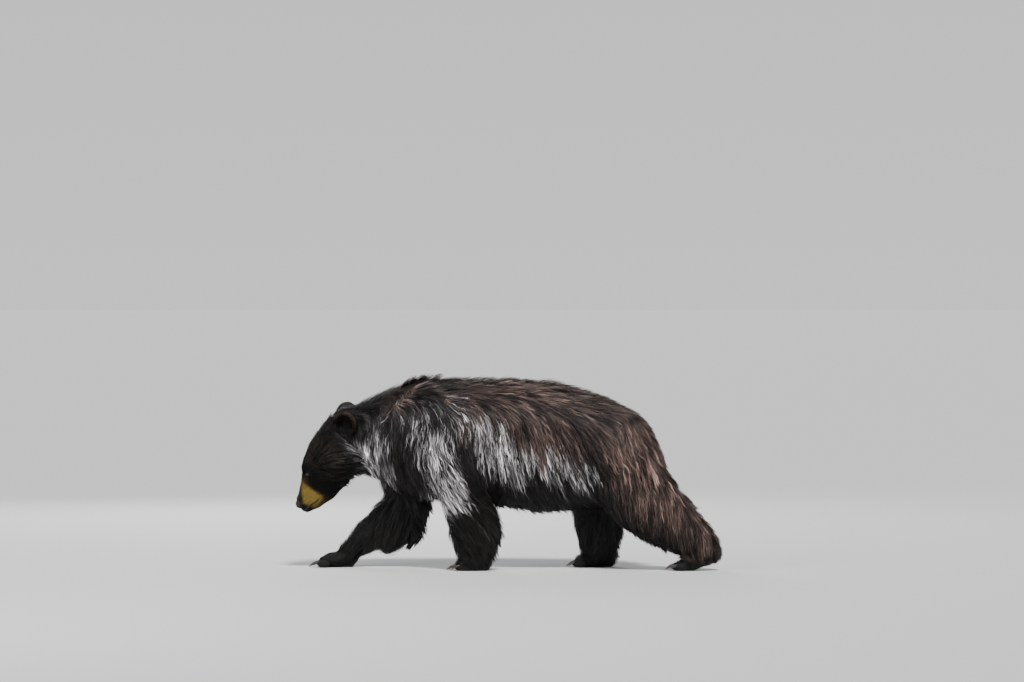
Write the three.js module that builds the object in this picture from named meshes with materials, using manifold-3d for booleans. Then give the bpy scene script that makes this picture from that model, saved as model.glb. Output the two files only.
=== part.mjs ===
// An adult American black bear, life size, walking with its head low: a still model in named pieces.
// Millimetres. +X points to the tail, +Y to the animal's right, +Z up, and the soles stand on Z = 0.
//
// The body is one blended distance field. Rows of stations give the outline at the tips of the coat and the
// coat's depth there. Each piece is the field's surface inside its own region, so that neighbours meet face to
// face, and the long coat is made of flat tapered locks that lie along the coat and overlap like shingles.
import * as THREE from "three";
import Module from "manifold-3d";
import { mergeVertices } from "three/addons/utils/BufferGeometryUtils.js";

const wasm = await Module();
wasm.setup();

// ---------------------------------------------------------------- driving sizes
const GAP = 0.3; // between pieces that touch
const TOLERANCE = 0.06; // shorter edges, left by cuts, are closed up
const SIMPLER = 2.5; // detail finer than this is left out of the form before it is cut into pieces
const CORE_DROP = 0.56; // how far the core lies inside the tips of a long coat, as a share of the coat's depth
const SHORT_COAT = 18; // a coat up to this deep has no locks
const LONG_COAT = 32; // a coat from this deep has full locks

// A station of a limb: centre, half depth in the limb's plane, half width, and the coat's depth.
const at = (x, y, z, deep, wide, coat) => ({ centre: [x, y, z], deep, wide, coat });

const SPINE = [
  at(555, 0, 498, 118, 138, 36),
  at(450, 0, 500, 198, 188, 42),
  at(310, 0, 511, 255, 212, 46),
  at(150, 0, 528, 277, 224, 48),
  at(0, 0, 545, 271, 224, 48),
  at(-140, 0, 554, 261, 212, 46),
  at(-270, 0, 558, 258, 198, 44),
  at(-375, 0, 563, 248, 186, 44),
  at(-465, 0, 572, 207, 164, 40),
  at(-555, 0, 569, 165, 146, 38),
  at(-635, 0, 558, 138, 132, 32),
];
const TAIL = [at(596, 0, 536, 44, 42, 26), at(652, 0, 480, 32, 34, 24), at(678, 0, 420, 22, 26, 20)];

// Each leg has its column of stations, the paw, and the fringe of long hair that hangs behind it.
const LEGS = {
  fore_left: {
    column: [
      at(-320, -85, 640, 120, 88, 40),
      at(-300, -126, 500, 130, 92, 42),
      at(-215, -146, 370, 106, 82, 44),
      at(-190, -140, 250, 90, 70, 40),
      at(-175, -131, 170, 84, 62, 36),
      at(-165, -125, 100, 72, 56, 26),
      at(-155, -122, 62, 58, 53, 16),
    ],
    paw: [at(-110, -128, 35, 40, 48, 12), at(-178, -120, 30, 34, 58, 10), at(-206, -115, 24, 26, 54, 8)],
    fringe: [at(-122, -140, 262, 62, 54, 56), at(-94, -132, 174, 62, 46, 58), at(-106, -125, 90, 46, 42, 40)],
  },
  fore_right: {
    column: [
      at(-340, 85, 640, 120, 88, 40),
      at(-410, 124, 500, 122, 88, 42),
      at(-455, 138, 380, 104, 80, 42),
      at(-432, 134, 285, 96, 72, 42),
      at(-520, 128, 210, 86, 66, 38),
      at(-612, 124, 132, 70, 58, 28),
      at(-690, 121, 72, 46, 52, 14),
    ],
    paw: [at(-692, 126, 37, 40, 48, 12), at(-768, 118, 30, 32, 58, 10), at(-800, 113, 24, 24, 54, 8)],
    fringe: [at(-415, 134, 290, 60, 56, 56), at(-432, 130, 168, 70, 50, 66), at(-520, 126, 108, 60, 46, 56)],
  },
  hind_left: {
    column: [
      at(470, -92, 545, 150, 104, 42),
      at(488, -130, 420, 168, 98, 42),
      at(565, -134, 305, 148, 82, 42),
      at(655, -131, 232, 124, 70, 40),
      at(730, -128, 172, 102, 62, 34),
      at(810, -124, 118, 78, 54, 24),
      at(858, -122, 88, 50, 46, 14),
    ],
    paw: [at(866, -124, 72, 42, 42, 10), at(772, -120, 32, 36, 52, 10), at(728, -117, 24, 26, 50, 8)],
    fringe: [at(624, -134, 362, 84, 58, 56), at(755, -130, 222, 64, 50, 56), at(848, -124, 128, 42, 42, 38)],
  },
  hind_right: {
    column: [
      at(450, 92, 545, 150, 104, 42),
      at(385, 130, 410, 136, 92, 42),
      at(372, 134, 290, 114, 76, 42),
      at(380, 130, 185, 100, 66, 40),
      at(388, 126, 105, 84, 58, 28),
      at(398, 123, 64, 60, 52, 14),
    ],
    paw: [at(430, 124, 37, 42, 44, 12), at(345, 120, 30, 36, 52, 10), at(306, 117, 24, 26, 50, 8)],
    fringe: [at(436, 132, 270, 58, 54, 54), at(436, 128, 152, 50, 48, 46), at(425, 124, 80, 42, 42, 28)],
  },
};

// The head has a frame of its own: u runs to the nose, w to the right and v up out of the crown.
const HEAD_CENTRE = new THREE.Vector3(-735, 0, 555);
const HEAD_DROP = THREE.MathUtils.degToRad(61); // below level
const HEAD_LEAN = THREE.MathUtils.degToRad(7); // right ear above left
const HEAD_FRAME = new THREE.Matrix4().multiplyMatrices(
  new THREE.Matrix4().makeRotationX(HEAD_LEAN),
  new THREE.Matrix4().makeBasis(
    new THREE.Vector3(-Math.cos(HEAD_DROP), 0, -Math.sin(HEAD_DROP)),
    new THREE.Vector3(0, 1, 0),
    new THREE.Vector3(-Math.sin(HEAD_DROP), 0, Math.cos(HEAD_DROP)),
  ),
);
HEAD_FRAME.setPosition(HEAD_CENTRE);
const HEAD_INVERSE = HEAD_FRAME.clone().invert();

const skullAt = (u, v, deep, wide, coat) => at(u, 0, v, deep, wide, coat);
const SKULL = [
  skullAt(-66, 2, 86, 114, 24),
  skullAt(0, -5, 100, 128, 20),
  skullAt(70, -7, 105, 126, 16),
  skullAt(130, -9, 99, 100, 12),
  skullAt(185, -15, 81, 66, 8),
  skullAt(245, -16, 62, 48, 6),
  skullAt(300, -6, 40, 40, 5),
];
const JAW = [
  skullAt(60, -70, 70, 86, 22),
  skullAt(140, -72, 52, 62, 14),
  skullAt(215, -68, 36, 44, 8),
  skullAt(285, -44, 22, 30, 6),
  skullAt(322, -26, 16, 22, 5),
];
// Masses that stand out on both sides of the head: centre, half sizes and coat.
const CHEEK = { centre: [46, 76, -42], half: [80, 66, 72], coat: 20, blend: 40 };
const BROW = { centre: [156, 36, 58], half: [34, 26, 26], coat: 8, blend: 24 };

// Details of the head, in the head's frame as [u, w, v], with w outwards.
const EYE = {
  centre: [187, 44, 42],
  radius: 11.5,
  lid: 3.4, // thickness
  gaze: [0.34, 0.9, 0.24],
  opening: [10.5, 6.6, 14], // half length and half height between the lids, and how far it reaches in
  corner: [0.35, 0, 1], // the lids' corners lie across this
};
const EAR = {
  centre: [-97, 117, 12],
  half: [58, 49, 29], // height, width and depth of the cup's outside
  up: [-0.84, 0.4, 0.36], // from its root to its tip
  facing: [0.35, 0.9, 0.1],
  wall: 8,
  rim: 12, // how far the rim lies outwards of the middle
  hollow: [15, -9], // how far the hollow is shifted outwards and towards the tip
};
const NOSE = {
  centre: [318, 0, 10],
  half: [26, 27, 21],
  nostril: { centre: [341, 12, 9], half: [14, 6.5, 7] },
  slit: { centre: [334, 22, 4], half: [12, 7, 3.2] },
};
const MOUTH = {
  corner: [238, 28, -58],
  half: [[256, 47, -53], [280, 43, -43], [304, 38, -33], [324, 28, -24], [335, 14, -19]],
  front: [340, 0, -18],
  lip: 5.5, // radius
  line: 2.2, // radius of the groove between the lips
  steps: 15,
  sides: 5,
};

// The locks of the coat, at their size on the trunk.
const LOCK = {
  long: 215,
  lengths: [0.9, 1.12], // shortest and longest, as shares of that
  half: 64, // half the width
  thick: 9,
  root: 15, // how far the root is sunk into the core
  rise: 30, // longest step of a point of it to its level
  rowStep: 138, // between roots along the coat
  sideStep: 95, // and across it
  onLegs: 0.68, // size on the legs
  stray: 0.22, // how far a lock turns out of the lie, in radians
  least: 8, // thinnest coat outside the core that has locks
  tries: 9000,
  seed: 231,
};
// Along a lock: its width, and its depth under the tips of the coat, as a share of the core's and in mm.
const LOCK_PROFILE = [
  { at: 0, wide: 0.7, share: 1, depth: LOCK.root },
  { at: 0.55, wide: 1, share: 0.15, depth: 4 },
];
const LOCK_TIP = 1; // depth of the tip
// How steeply the coat runs down along the trunk: position from head to tail, and degrees below level.
const LIE = [[-640, 55], [-500, 66], [-380, 80], [-230, 80], [-60, 62], [250, 55], [480, 52], [640, 60]];
const LIE_ON_TOP = 20; // and along the back
const BACK = [0.45, 0.95]; // where the back begins and is full, by how far the surface faces up
const LEG_REACH = [-45, 35]; // where a leg's own lie begins and is full, by its distance out of the trunk

const TOES = 5;
const TOE = { half: [31, 13, 20], spacing: 22.5, rise: 17, arc: 3 };
const CLAW = { wide: 4.5, deep: 7.5, root: 14, rise: 5, droop: 20, taper: 0.5, rings: [0.4, 0.75] };
// For each paw: the middle of the row of toes, their turn inwards in degrees, and how far a claw sticks out.
const TOE_ROWS = {
  forepaw_left: { root: [-208, -114], turn: 8, claw: 32 },
  forepaw_right: { root: [-806, 113], turn: -8, claw: 32 },
  hindfoot_left: { root: [720, -116], turn: 6, claw: 24 },
  hindfoot_right: { root: [300, 116], turn: -6, claw: 24 },
};

// How softly forms run into each other.
const BLEND = {
  alongSpine: 30,
  alongTail: 12,
  alongSkull: 16,
  alongJaw: 14,
  alongLeg: 20,
  alongPaw: 12,
  alongFringe: 12,
  jaw: 34,
  head: 50,
  paw: 24,
  fringe: 30,
  leg: 60,
  tail: 40,
};

// Sides and rows of the rounded cutters and small round forms.
const CUTTER_NET = [11, 7];
const ROUND_NET = [10, 7];
const OPENING_NET = [10, 6];
const SMALL_NET = [6, 4];
const TOE_NET = [6, 5];

// ---------------------------------------------------------------- the distance field
const dot = (a, b) => a[0] * b[0] + a[1] * b[1] + a[2] * b[2];
const minus = (a, b) => [a[0] - b[0], a[1] - b[1], a[2] - b[2]];
const plus = (a, b, k = 1) => [a[0] + k * b[0], a[1] + k * b[1], a[2] + k * b[2]];
const times = (a, k) => [a[0] * k, a[1] * k, a[2] * k];
const cross = (a, b) => [a[1] * b[2] - a[2] * b[1], a[2] * b[0] - a[0] * b[2], a[0] * b[1] - a[1] * b[0]];
const unit = (a) => times(a, 1 / (Math.hypot(...a) || 1));
const mix = (a, b, t) => a + (b - a) * t;
const clamp = (x, low, high) => Math.min(high, Math.max(low, x));
const smoothstep = (low, high, x) => {
  const t = clamp((x - low) / (high - low), 0, 1);
  return t * t * (3 - 2 * t);
};
const LATERAL = [0, 1, 0];
const UP = [0, 0, 1];

// Smooth minimum of two distances, rounding the join over about k.
function blend(a, b, k) {
  const h = Math.max(k - Math.abs(a - b), 0) / k;
  return Math.min(a, b) - h * h * k * 0.25;
}

function ellipsoidDistance(s, u, v, long, deep, wide) {
  const k0 = Math.hypot(s / long, u / deep, v / wide);
  const k1 = Math.hypot(s / long ** 2, u / deep ** 2, v / wide ** 2);
  return k1 < 1e-9 ? -Math.min(long, deep, wide) : (k0 * (k0 - 1)) / k1;
}

// A length of limb between two stations: an elliptic cone with round ends.
function segment(a, b) {
  const along = minus(b.centre, a.centre);
  const long2 = dot(along, along);
  const axis = unit(along);
  const side = unit(minus(LATERAL, times(axis, dot(LATERAL, axis))));
  const up = cross(axis, side);
  return (p) => {
    const q = minus(p, a.centre);
    const t = clamp(dot(q, along) / long2, 0, 1);
    const r = plus(q, along, -t);
    const deep = mix(a.deep, b.deep, t);
    const wide = mix(a.wide, b.wide, t);
    const distance = ellipsoidDistance(dot(r, axis), dot(r, up), dot(r, side), deep, deep, wide);
    return [distance, mix(a.coat, b.coat, t)];
  };
}

const COAT_REACH = 25; // how far one form's coat depth runs into its neighbour's

// Mixes coat depths, giving the nearest forms the most say.
function mixedCoat(forms) {
  const nearest = Math.min(...forms.map(([d]) => d));
  let total = 0;
  let weight = 0;
  for (const [d, coat] of forms) {
    const w = Math.exp((nearest - d) / COAT_REACH);
    total += w * coat;
    weight += w;
  }
  return total / weight;
}

function chain(stations, k) {
  const segments = stations.slice(1).map((b, i) => segment(stations[i], b));
  return (p) => {
    const forms = segments.map((s) => s(p));
    const distance = forms.slice(1).reduce((d, [e]) => blend(d, e, k), forms[0][0]);
    return [distance, mixedCoat(forms)];
  };
}

function mass({ centre, half, coat }, side) {
  const c = [centre[0], side * centre[1], centre[2]];
  return (p) => {
    const q = minus(p, c);
    return [ellipsoidDistance(q[0], q[2], q[1], half[0], half[2], half[1]), coat];
  };
}

const spine = chain(SPINE, BLEND.alongSpine);
const tail = chain(TAIL, BLEND.alongTail);
const skull = chain(SKULL, BLEND.alongSkull);
const jaw = chain(JAW, BLEND.alongJaw);
const headMasses = [CHEEK, BROW].flatMap((m) => [-1, 1].map((side) => ({ form: mass(m, side), k: m.blend })));
const legs = Object.values(LEGS).map(({ column, paw, fringe }) => ({
  column: chain(column, BLEND.alongLeg),
  paw: chain(paw, BLEND.alongPaw),
  fringe: chain(fringe, BLEND.alongFringe),
}));

function toHead(p) {
  const v = new THREE.Vector3(...p).applyMatrix4(HEAD_INVERSE);
  return [v.x, v.y, v.z];
}

function fromHead(p) {
  const v = new THREE.Vector3(...p).applyMatrix4(HEAD_FRAME);
  return [v.x, v.y, v.z];
}

function head(p) {
  const q = toHead(p);
  const forms = [skull(q), jaw(q)];
  let distance = blend(forms[0][0], forms[1][0], BLEND.jaw);
  for (const { form, k } of headMasses) {
    const made = form(q);
    forms.push(made);
    distance = blend(distance, made[0], k);
  }
  return [distance, mixedCoat(forms)];
}

// Distance to the tips of the coat, and the coat's depth.
function body(p) {
  const forms = [spine(p), head(p)];
  let distance = blend(forms[0][0], forms[1][0], BLEND.head);
  for (const leg of legs) {
    const column = leg.column(p);
    const paw = leg.paw(p);
    const fringe = leg.fringe(p);
    forms.push(column, paw, fringe);
    const limb = blend(blend(column[0], paw[0], BLEND.paw), fringe[0], BLEND.fringe);
    distance = blend(distance, limb, BLEND.leg);
  }
  const end = tail(p);
  forms.push(end);
  return [blend(distance, end[0], BLEND.tail), mixedCoat(forms)];
}

// How far the core lies inside the tips of the coat.
function coreDrop(coat) {
  return CORE_DROP * coat * smoothstep(SHORT_COAT, LONG_COAT, coat);
}

const outline = (p) => body(p)[0];

function core(p) {
  const [distance, coat] = body(p);
  return distance + coreDrop(coat);
}

const SLOPE_STEP = 2;
function slope(field, p) {
  return [0, 1, 2].map((i) => {
    const step = [0, 0, 0];
    step[i] = SLOPE_STEP;
    return (field(plus(p, step)) - field(plus(p, step, -1))) / (2 * SLOPE_STEP);
  });
}

// Moves p onto the field's surface in a few steps, none longer than a limit.
const FLATTEST = 0.05; // least squared slope, where the field has no clear way out
function settle(field, p, steps, limit) {
  let moved = p;
  for (let i = 0; i < steps; i++) {
    const g = slope(field, moved);
    const move = clamp(field(moved) / Math.max(dot(g, g), FLATTEST), -limit, limit);
    moved = plus(moved, g, -move);
  }
  return moved;
}

// ---------------------------------------------------------------- solids
function solidFrom(positions, triangles) {
  const made = new wasm.Manifold(
    new wasm.Mesh({
      numProp: 3,
      vertProperties: new Float32Array(positions),
      triVerts: new Uint32Array(triangles),
    }),
  );
  if (made.volume() > 0) return made;
  const turned = triangles.slice();
  for (let i = 0; i < turned.length; i += 3) [turned[i + 1], turned[i + 2]] = [turned[i + 2], turned[i + 1]];
  return solidFrom(positions, turned);
}

function solidOf(geometry, matrix = new THREE.Matrix4()) {
  const bare = new THREE.BufferGeometry().setAttribute("position", geometry.getAttribute("position").clone());
  bare.setIndex(geometry.index);
  const merged = mergeVertices(bare.applyMatrix4(matrix), 1e-3);
  return solidFrom(Array.from(merged.attributes.position.array), Array.from(merged.index.array));
}

// A solid along rings of points, one for each side, ending in a tip.
function strand(rings, tip) {
  const sides = rings[0].length;
  const triangles = [];
  for (let i = 0; i < rings.length; i++)
    for (let j = 0; j < sides; j++) {
      const [a, b] = [sides * i + j, sides * i + ((j + 1) % sides)];
      if (i + 1 < rings.length) triangles.push(a, b, b + sides, a, b + sides, a + sides);
      else triangles.push(a, b, sides * rings.length);
    }
  for (let j = 1; j + 1 < sides; j++) triangles.push(0, j + 1, j);
  return solidFrom([...rings.flat(2), ...tip], triangles);
}

// The largest closed surface of a solid, without loose scraps or sealed hollows.
function largest(solid) {
  return solid
    .simplify(TOLERANCE)
    .decompose()
    .reduce((a, b) => (b.volume() > a.volume() ? b : a));
}

function geometryOf(solid) {
  const mesh = solid.getMesh();
  const made = new THREE.BufferGeometry();
  const positions = new Float32Array(mesh.numVert * 3);
  for (let i = 0; i < mesh.numVert; i++)
    positions.set(mesh.vertProperties.subarray(i * mesh.numProp, i * mesh.numProp + 3), i * 3);
  made.setAttribute("position", new THREE.BufferAttribute(positions, 3));
  made.setIndex(new THREE.BufferAttribute(mesh.triVerts, 1));
  const flat = made.toNonIndexed();
  flat.computeVertexNormals();
  return flat;
}

// The surface of a field inside a box, as a closed solid of even cells, by surface nets.
function surface(field, low, high, cell) {
  const inBox = (p) => Math.max(...p.map((x, i) => Math.max(low[i] + cell - x, x - high[i] + cell)));
  const limited = (p) => Math.max(field(p), inBox(p));
  const count = low.map((x, i) => Math.ceil((high[i] - x) / cell) + 1);
  const corner = (i, j, k) => [low[0] + i * cell, low[1] + j * cell, low[2] + k * cell];
  const key = (i, j, k) => (i * count[1] + j) * count[2] + k;
  const values = new Float64Array(count[0] * count[1] * count[2]);
  for (let i = 0; i < count[0]; i++)
    for (let j = 0; j < count[1]; j++)
      for (let k = 0; k < count[2]; k++) values[key(i, j, k)] = limited(corner(i, j, k));

  const positions = [];
  const vertexOf = new Map();
  const CORNERS = [0, 1, 2, 3, 4, 5, 6, 7].map((n) => [n & 1, (n >> 1) & 1, (n >> 2) & 1]);
  const EDGES = [];
  for (let a = 0; a < 8; a++) for (const bit of [1, 2, 4]) if (!(a & bit)) EDGES.push([a, a | bit]);
  for (let i = 0; i < count[0] - 1; i++)
    for (let j = 0; j < count[1] - 1; j++)
      for (let k = 0; k < count[2] - 1; k++) {
        const at8 = CORNERS.map(([a, b, c]) => values[key(i + a, j + b, k + c)]);
        let sum = [0, 0, 0];
        let hits = 0;
        for (const [a, b] of EDGES)
          if (at8[a] < 0 !== at8[b] < 0) {
            const t = at8[a] / (at8[a] - at8[b]);
            sum = plus(sum, CORNERS[a].map((x, n) => mix(x, CORNERS[b][n], t)));
            hits++;
          }
        if (!hits) continue;
        let p = plus(corner(i, j, k), times(sum, cell / hits));
        if (inBox(p) < -cell * 0.5) p = settle(field, p, 3, cell * 0.4);
        vertexOf.set(key(i, j, k), positions.length / 3);
        positions.push(...p);
      }

  const triangles = [];
  for (let axis = 0; axis < 3; axis++) {
    const [b, c] = [(axis + 1) % 3, (axis + 2) % 3];
    for (let i = 0; i < count[0] - 1; i++)
      for (let j = 0; j < count[1] - 1; j++)
        for (let k = 0; k < count[2] - 1; k++) {
          const cellAt = [i, j, k];
          if (!cellAt[b] || !cellAt[c]) continue;
          const next = cellAt.slice();
          next[axis]++;
          const inside = values[key(...cellAt)] < 0;
          if (inside === values[key(...next)] < 0) continue;
          const ring = [[1, 1], [0, 1], [0, 0], [1, 0]].map(([db, dc]) => {
            const around = cellAt.slice();
            around[b] -= db;
            around[c] -= dc;
            return vertexOf.get(key(...around));
          });
          if (!inside) ring.reverse();
          triangles.push(ring[0], ring[1], ring[2], ring[0], ring[2], ring[3]);
        }
  }
  return solidFrom(positions, triangles);
}

const ball = ([across, down]) => new THREE.SphereGeometry(1, across, down);
const grown = (half, grow) => half.map((x) => x + grow);

// ---------------------------------------------------------------- regions
// A plane across the body, seen from the side, through two points of XZ. Its normal points to the tail where the
// plane runs down, and up where it runs back.
const seam = (x1, z1, x2, z2) => ({ normal: unit([z1 - z2, 0, x2 - x1]), point: [x1, 0, z1] });
const NAPE = seam(-646, 800, -660, 300); // behind the head
const COLLAR = seam(-450, 800, -576, 350); // behind the neck
const GIRTH = seam(-110, 820, -58, 250); // behind the shoulders
const LOIN = seam(330, 800, 330, 220); // ahead of the hips

function trimmed(solid, ahead, behind) {
  let left = solid;
  if (ahead) left = left.trimByPlane(ahead.normal, dot(ahead.normal, ahead.point) + GAP / 2);
  if (behind) left = left.trimByPlane(times(behind.normal, -1), -dot(behind.normal, behind.point) + GAP / 2);
  return left;
}

// A cutter for a muscle that is a piece of its own: an ellipsoid, grown by a gap where it makes room for it.
function muscle(centre, half) {
  return (grow) => {
    const size = new THREE.Vector3(...grown(half, grow));
    return solidOf(ball(CUTTER_NET), new THREE.Matrix4().makeTranslation(...centre).scale(size));
  };
}

const SLAB_SIDES = [4, 320]; // how far a slab's sides are from the midline
// A box on one side of the midline that hangs below the line between two points of XZ, going back.
function slab(x1, z1, x2, z2, depth, side) {
  const long = Math.hypot(x2 - x1, z2 - z1);
  const angle = Math.atan2(z2 - z1, x2 - x1);
  const middle = [(x1 + x2) / 2 + (Math.sin(angle) * depth) / 2, (z1 + z2) / 2 - (Math.cos(angle) * depth) / 2];
  const [inner, outer] = SLAB_SIDES;
  return (grow) => {
    const box = new THREE.BoxGeometry(long + 2 * grow, outer - inner + 2 * grow, depth + 2 * grow);
    const matrix = new THREE.Matrix4()
      .makeTranslation(middle[0], (side * (inner + outer)) / 2, middle[1])
      .multiply(new THREE.Matrix4().makeRotationY(-angle));
    return solidOf(box, matrix);
  };
}

const LEFT = -1;
const RIGHT = 1;
const CUTTERS = {
  tail: muscle([678, 0, 452], [48, 50, 78]),
  shoulder_left: muscle([-255, -152, 450], [165, 128, 245]),
  shoulder_right: muscle([-330, 152, 450], [150, 128, 245]),
  thigh_left: muscle([525, -152, 400], [185, 128, 250]),
  thigh_right: muscle([415, 152, 385], [170, 128, 245]),
  forearm_left: slab(-420, 313, -20, 280, 360, LEFT),
  forearm_right: slab(-860, 400, -310, 296, 460, RIGHT),
  forepaw_left: slab(-320, 78, 0, 78, 140, LEFT),
  forepaw_right: slab(-735, 188, -565, 3, 300, RIGHT),
  shank_left: slab(470, 116, 790, 509, 600, LEFT),
  shank_right: slab(210, 245, 580, 245, 300, RIGHT),
  hindfoot_left: slab(640, 52, 960, 116, 200, LEFT),
  hindfoot_right: slab(200, 74, 600, 74, 140, RIGHT),
};

// ---------------------------------------------------------------- pieces
const MATERIALS = {
  coat: { color: 0x15110e, roughness: 0.78 },
  muzzle: { color: 0x1c1712, roughness: 0.75 },
  nose: { color: 0x232122, roughness: 0.42 },
  eye: { color: 0x1a0f08, roughness: 0.08 },
  claw: { color: 0x2a2421, roughness: 0.4 },
};
const bear = new THREE.Group();
const pieces = new Map();

function addPiece(name, solid, look) {
  const material = new THREE.MeshStandardMaterial({ ...look, metalness: 0 });
  const mesh = new THREE.Mesh(geometryOf(largest(solid)), material);
  mesh.name = name;
  bear.add(mesh);
  pieces.set(name, mesh);
}

const PARTS_OF = {
  trunk: { low: [-800, -330, 20], high: [800, 330, 900], cell: 76 },
  tail: { low: [520, -130, 320], high: [780, 130, 620], cell: 26 },
  head: { low: [-960, -220, 200], high: [-580, 220, 800], cell: 22 },
  fore_left: { low: [-400, -260, 0], high: [0, 0, 400], cell: 36 },
  fore_right: { low: [-730, 0, -20], high: [-290, 260, 430], cell: 36 },
  hind_left: { low: [440, -260, 0], high: [940, 0, 530], cell: 36 },
  hind_right: { low: [200, 0, 0], high: [600, 260, 330], cell: 36 },
  forepaw_left: { low: [-300, -230, -40], high: [0, 0, 150], cell: 31 },
  forepaw_right: { low: [-900, 0, -40], high: [-540, 230, 240], cell: 31 },
  hindfoot_left: { low: [620, -230, -40], high: [960, 0, 200], cell: 31 },
  hindfoot_right: { low: [200, 0, -40], high: [540, 230, 150], cell: 31 },
};
const forms = Object.fromEntries(
  Object.entries(PARTS_OF).map(([name, { low, high, cell }]) => [name, surface(core, low, high, cell)]),
);

// ---------------------------------------------------------------- locks
// Numbers from 0 to 1, the same each time.
function randomFrom(seed) {
  let state = seed;
  return () => {
    state = (state + 0x6d2b79f5) | 0;
    let t = Math.imul(state ^ (state >>> 15), 1 | state);
    t = (t + Math.imul(t ^ (t >>> 7), 61 | t)) ^ t;
    return ((t ^ (t >>> 14)) >>> 0) / 4294967296;
  };
}
const random = randomFrom(LOCK.seed);

// Which leg p belongs to, how fully, and which way that leg runs down there.
function legAt(p) {
  const trunkDistance = spine(p)[0];
  let best = { share: 0, down: [0, 0, -1] };
  for (const { column } of Object.values(LEGS)) {
    const side = Math.sign(column[2].centre[1]);
    if (Math.sign(p[1]) !== side) continue;
    for (let i = 1; i < column.length; i++) {
      const distance = segment(column[i - 1], column[i])(p)[0];
      const share = smoothstep(...LEG_REACH, trunkDistance - distance);
      if (share > best.share)
        best = { share, down: unit(minus(column[i].centre, column[i - 1].centre)) };
    }
  }
  return best;
}

// The way the hair lies at p on a surface with normal n.
function lieAt(p, n, leg) {
  let i = 1;
  while (i < LIE.length - 1 && LIE[i][0] < p[0]) i++;
  const t = clamp((p[0] - LIE[i - 1][0]) / (LIE[i][0] - LIE[i - 1][0]), 0, 1);
  const onTop = smoothstep(...BACK, n[2]);
  const fall = THREE.MathUtils.degToRad(mix(mix(LIE[i - 1][1], LIE[i][1], t), LIE_ON_TOP, onTop));
  const onTrunk = [Math.cos(fall), 0, -Math.sin(fall)];
  const way = plus(times(onTrunk, 1 - leg.share), leg.down, leg.share);
  return unit(plus(way, n, -dot(way, n)));
}

// Where the locks are rooted: spread over a solid's surface, further apart along the coat than across it.
function lockSites(solid) {
  const { vertProperties: v, triVerts } = solid.getMesh();
  const vertex = (i) => Array.from(v.subarray(3 * i, 3 * i + 3));
  const corners = (i) => Array.from(triVerts.subarray(3 * i, 3 * i + 3)).map(vertex);
  const areas = [];
  let total = 0;
  for (let i = 0; i < triVerts.length / 3; i++) {
    const [a, b, c] = corners(i);
    total += Math.hypot(...cross(minus(b, a), minus(c, a)));
    areas.push(total);
  }
  const sites = [];
  for (let n = 0; n < LOCK.tries; n++) {
    const pick = random() * total;
    const [a, b, c] = corners(areas.findIndex((x) => x > pick));
    const [s, t] = [random(), random()].sort((x, y) => x - y);
    const point = plus(plus(times(a, s), b, t - s), c, 1 - t);
    const near = sites.filter((site) => Math.hypot(...minus(site.point, point)) < LOCK.rowStep);
    if (near.some((site) => crowded(site, point))) continue;
    const site = siteAt(point);
    if (site && !near.some((other) => crowded(other, point, site.size))) sites.push(site);
  }
  return sites;
}

function crowded({ point, lie, side, size: own }, p, size = own) {
  const d = minus(p, point);
  const reach = (own + size) / 2;
  return Math.hypot(dot(d, lie) / LOCK.rowStep, dot(d, side) / LOCK.sideStep) < reach;
}

function siteAt(p) {
  const point = settle(outline, p, 2, LOCK.rise);
  const coat = body(point)[1];
  if (coreDrop(coat) < LOCK.least) return null;
  const normal = unit(slope(outline, point));
  const leg = legAt(point);
  const lie = lieAt(point, normal, leg);
  return { point, lie, side: cross(normal, lie), size: mix(1, LOCK.onLegs, leg.share) };
}

// A lock from a site: three rings of an edge, a ridge and an edge, and the tip.
function lock({ point, size }) {
  const long = LOCK.long * size * mix(...LOCK.lengths, random());
  const stray = LOCK.stray * (random() * 2 - 1);
  let p = point;
  let walked = 0;
  const rings = [];
  for (const { at: share, wide, share: sunk, depth } of LOCK_PROFILE) {
    p = walk(p, (share - walked) * long, stray);
    walked = share;
    const normal = unit(slope(outline, p));
    const side = cross(normal, lieAt(p, normal, legAt(p)));
    const level = depth + sunk * coreDrop(body(p)[1]);
    const half = LOCK.half * size * wide;
    rings.push([
      onLevel(plus(p, side, -half), level + LOCK.thick * 0.5),
      onLevel(p, level - LOCK.thick * 0.5),
      onLevel(plus(p, side, half), level + LOCK.thick * 0.5),
    ]);
  }
  return strand(rings, onLevel(walk(p, (1 - walked) * long, stray), LOCK_TIP));
}

// A step along the lie of the coat, turned a little to one side.
function walk(p, distance, stray) {
  const normal = unit(slope(outline, p));
  const lie = lieAt(p, normal, legAt(p));
  const side = cross(normal, lie);
  const there = plus(plus(p, lie, distance * Math.cos(stray)), side, distance * Math.sin(stray));
  return settle(outline, there, 2, LOCK.rise);
}

// The point under p at a depth below the coat's tips.
function onLevel(p, depth) {
  return settle((q) => outline(q) + depth, p, 3, LOCK.rise);
}

const locks = lockSites(forms.trunk).map(lock);
for (const [name, { low, high }] of Object.entries(PARTS_OF)) {
  if (name === "head" || name === "tail") continue;
  const near = locks.filter((made) => {
    const { min, max } = made.boundingBox();
    return min.every((x, i) => x < high[i]) && max.every((x, i) => x > low[i]);
  });
  forms[name] = wasm.Manifold.union([forms[name], ...near]).simplify(SIMPLER);
}

const without = (solid, names) => names.reduce((left, name) => left.subtract(CUTTERS[name](GAP)), solid);
const inside = (solid, name) => solid.intersect(CUTTERS[name](0));

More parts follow.
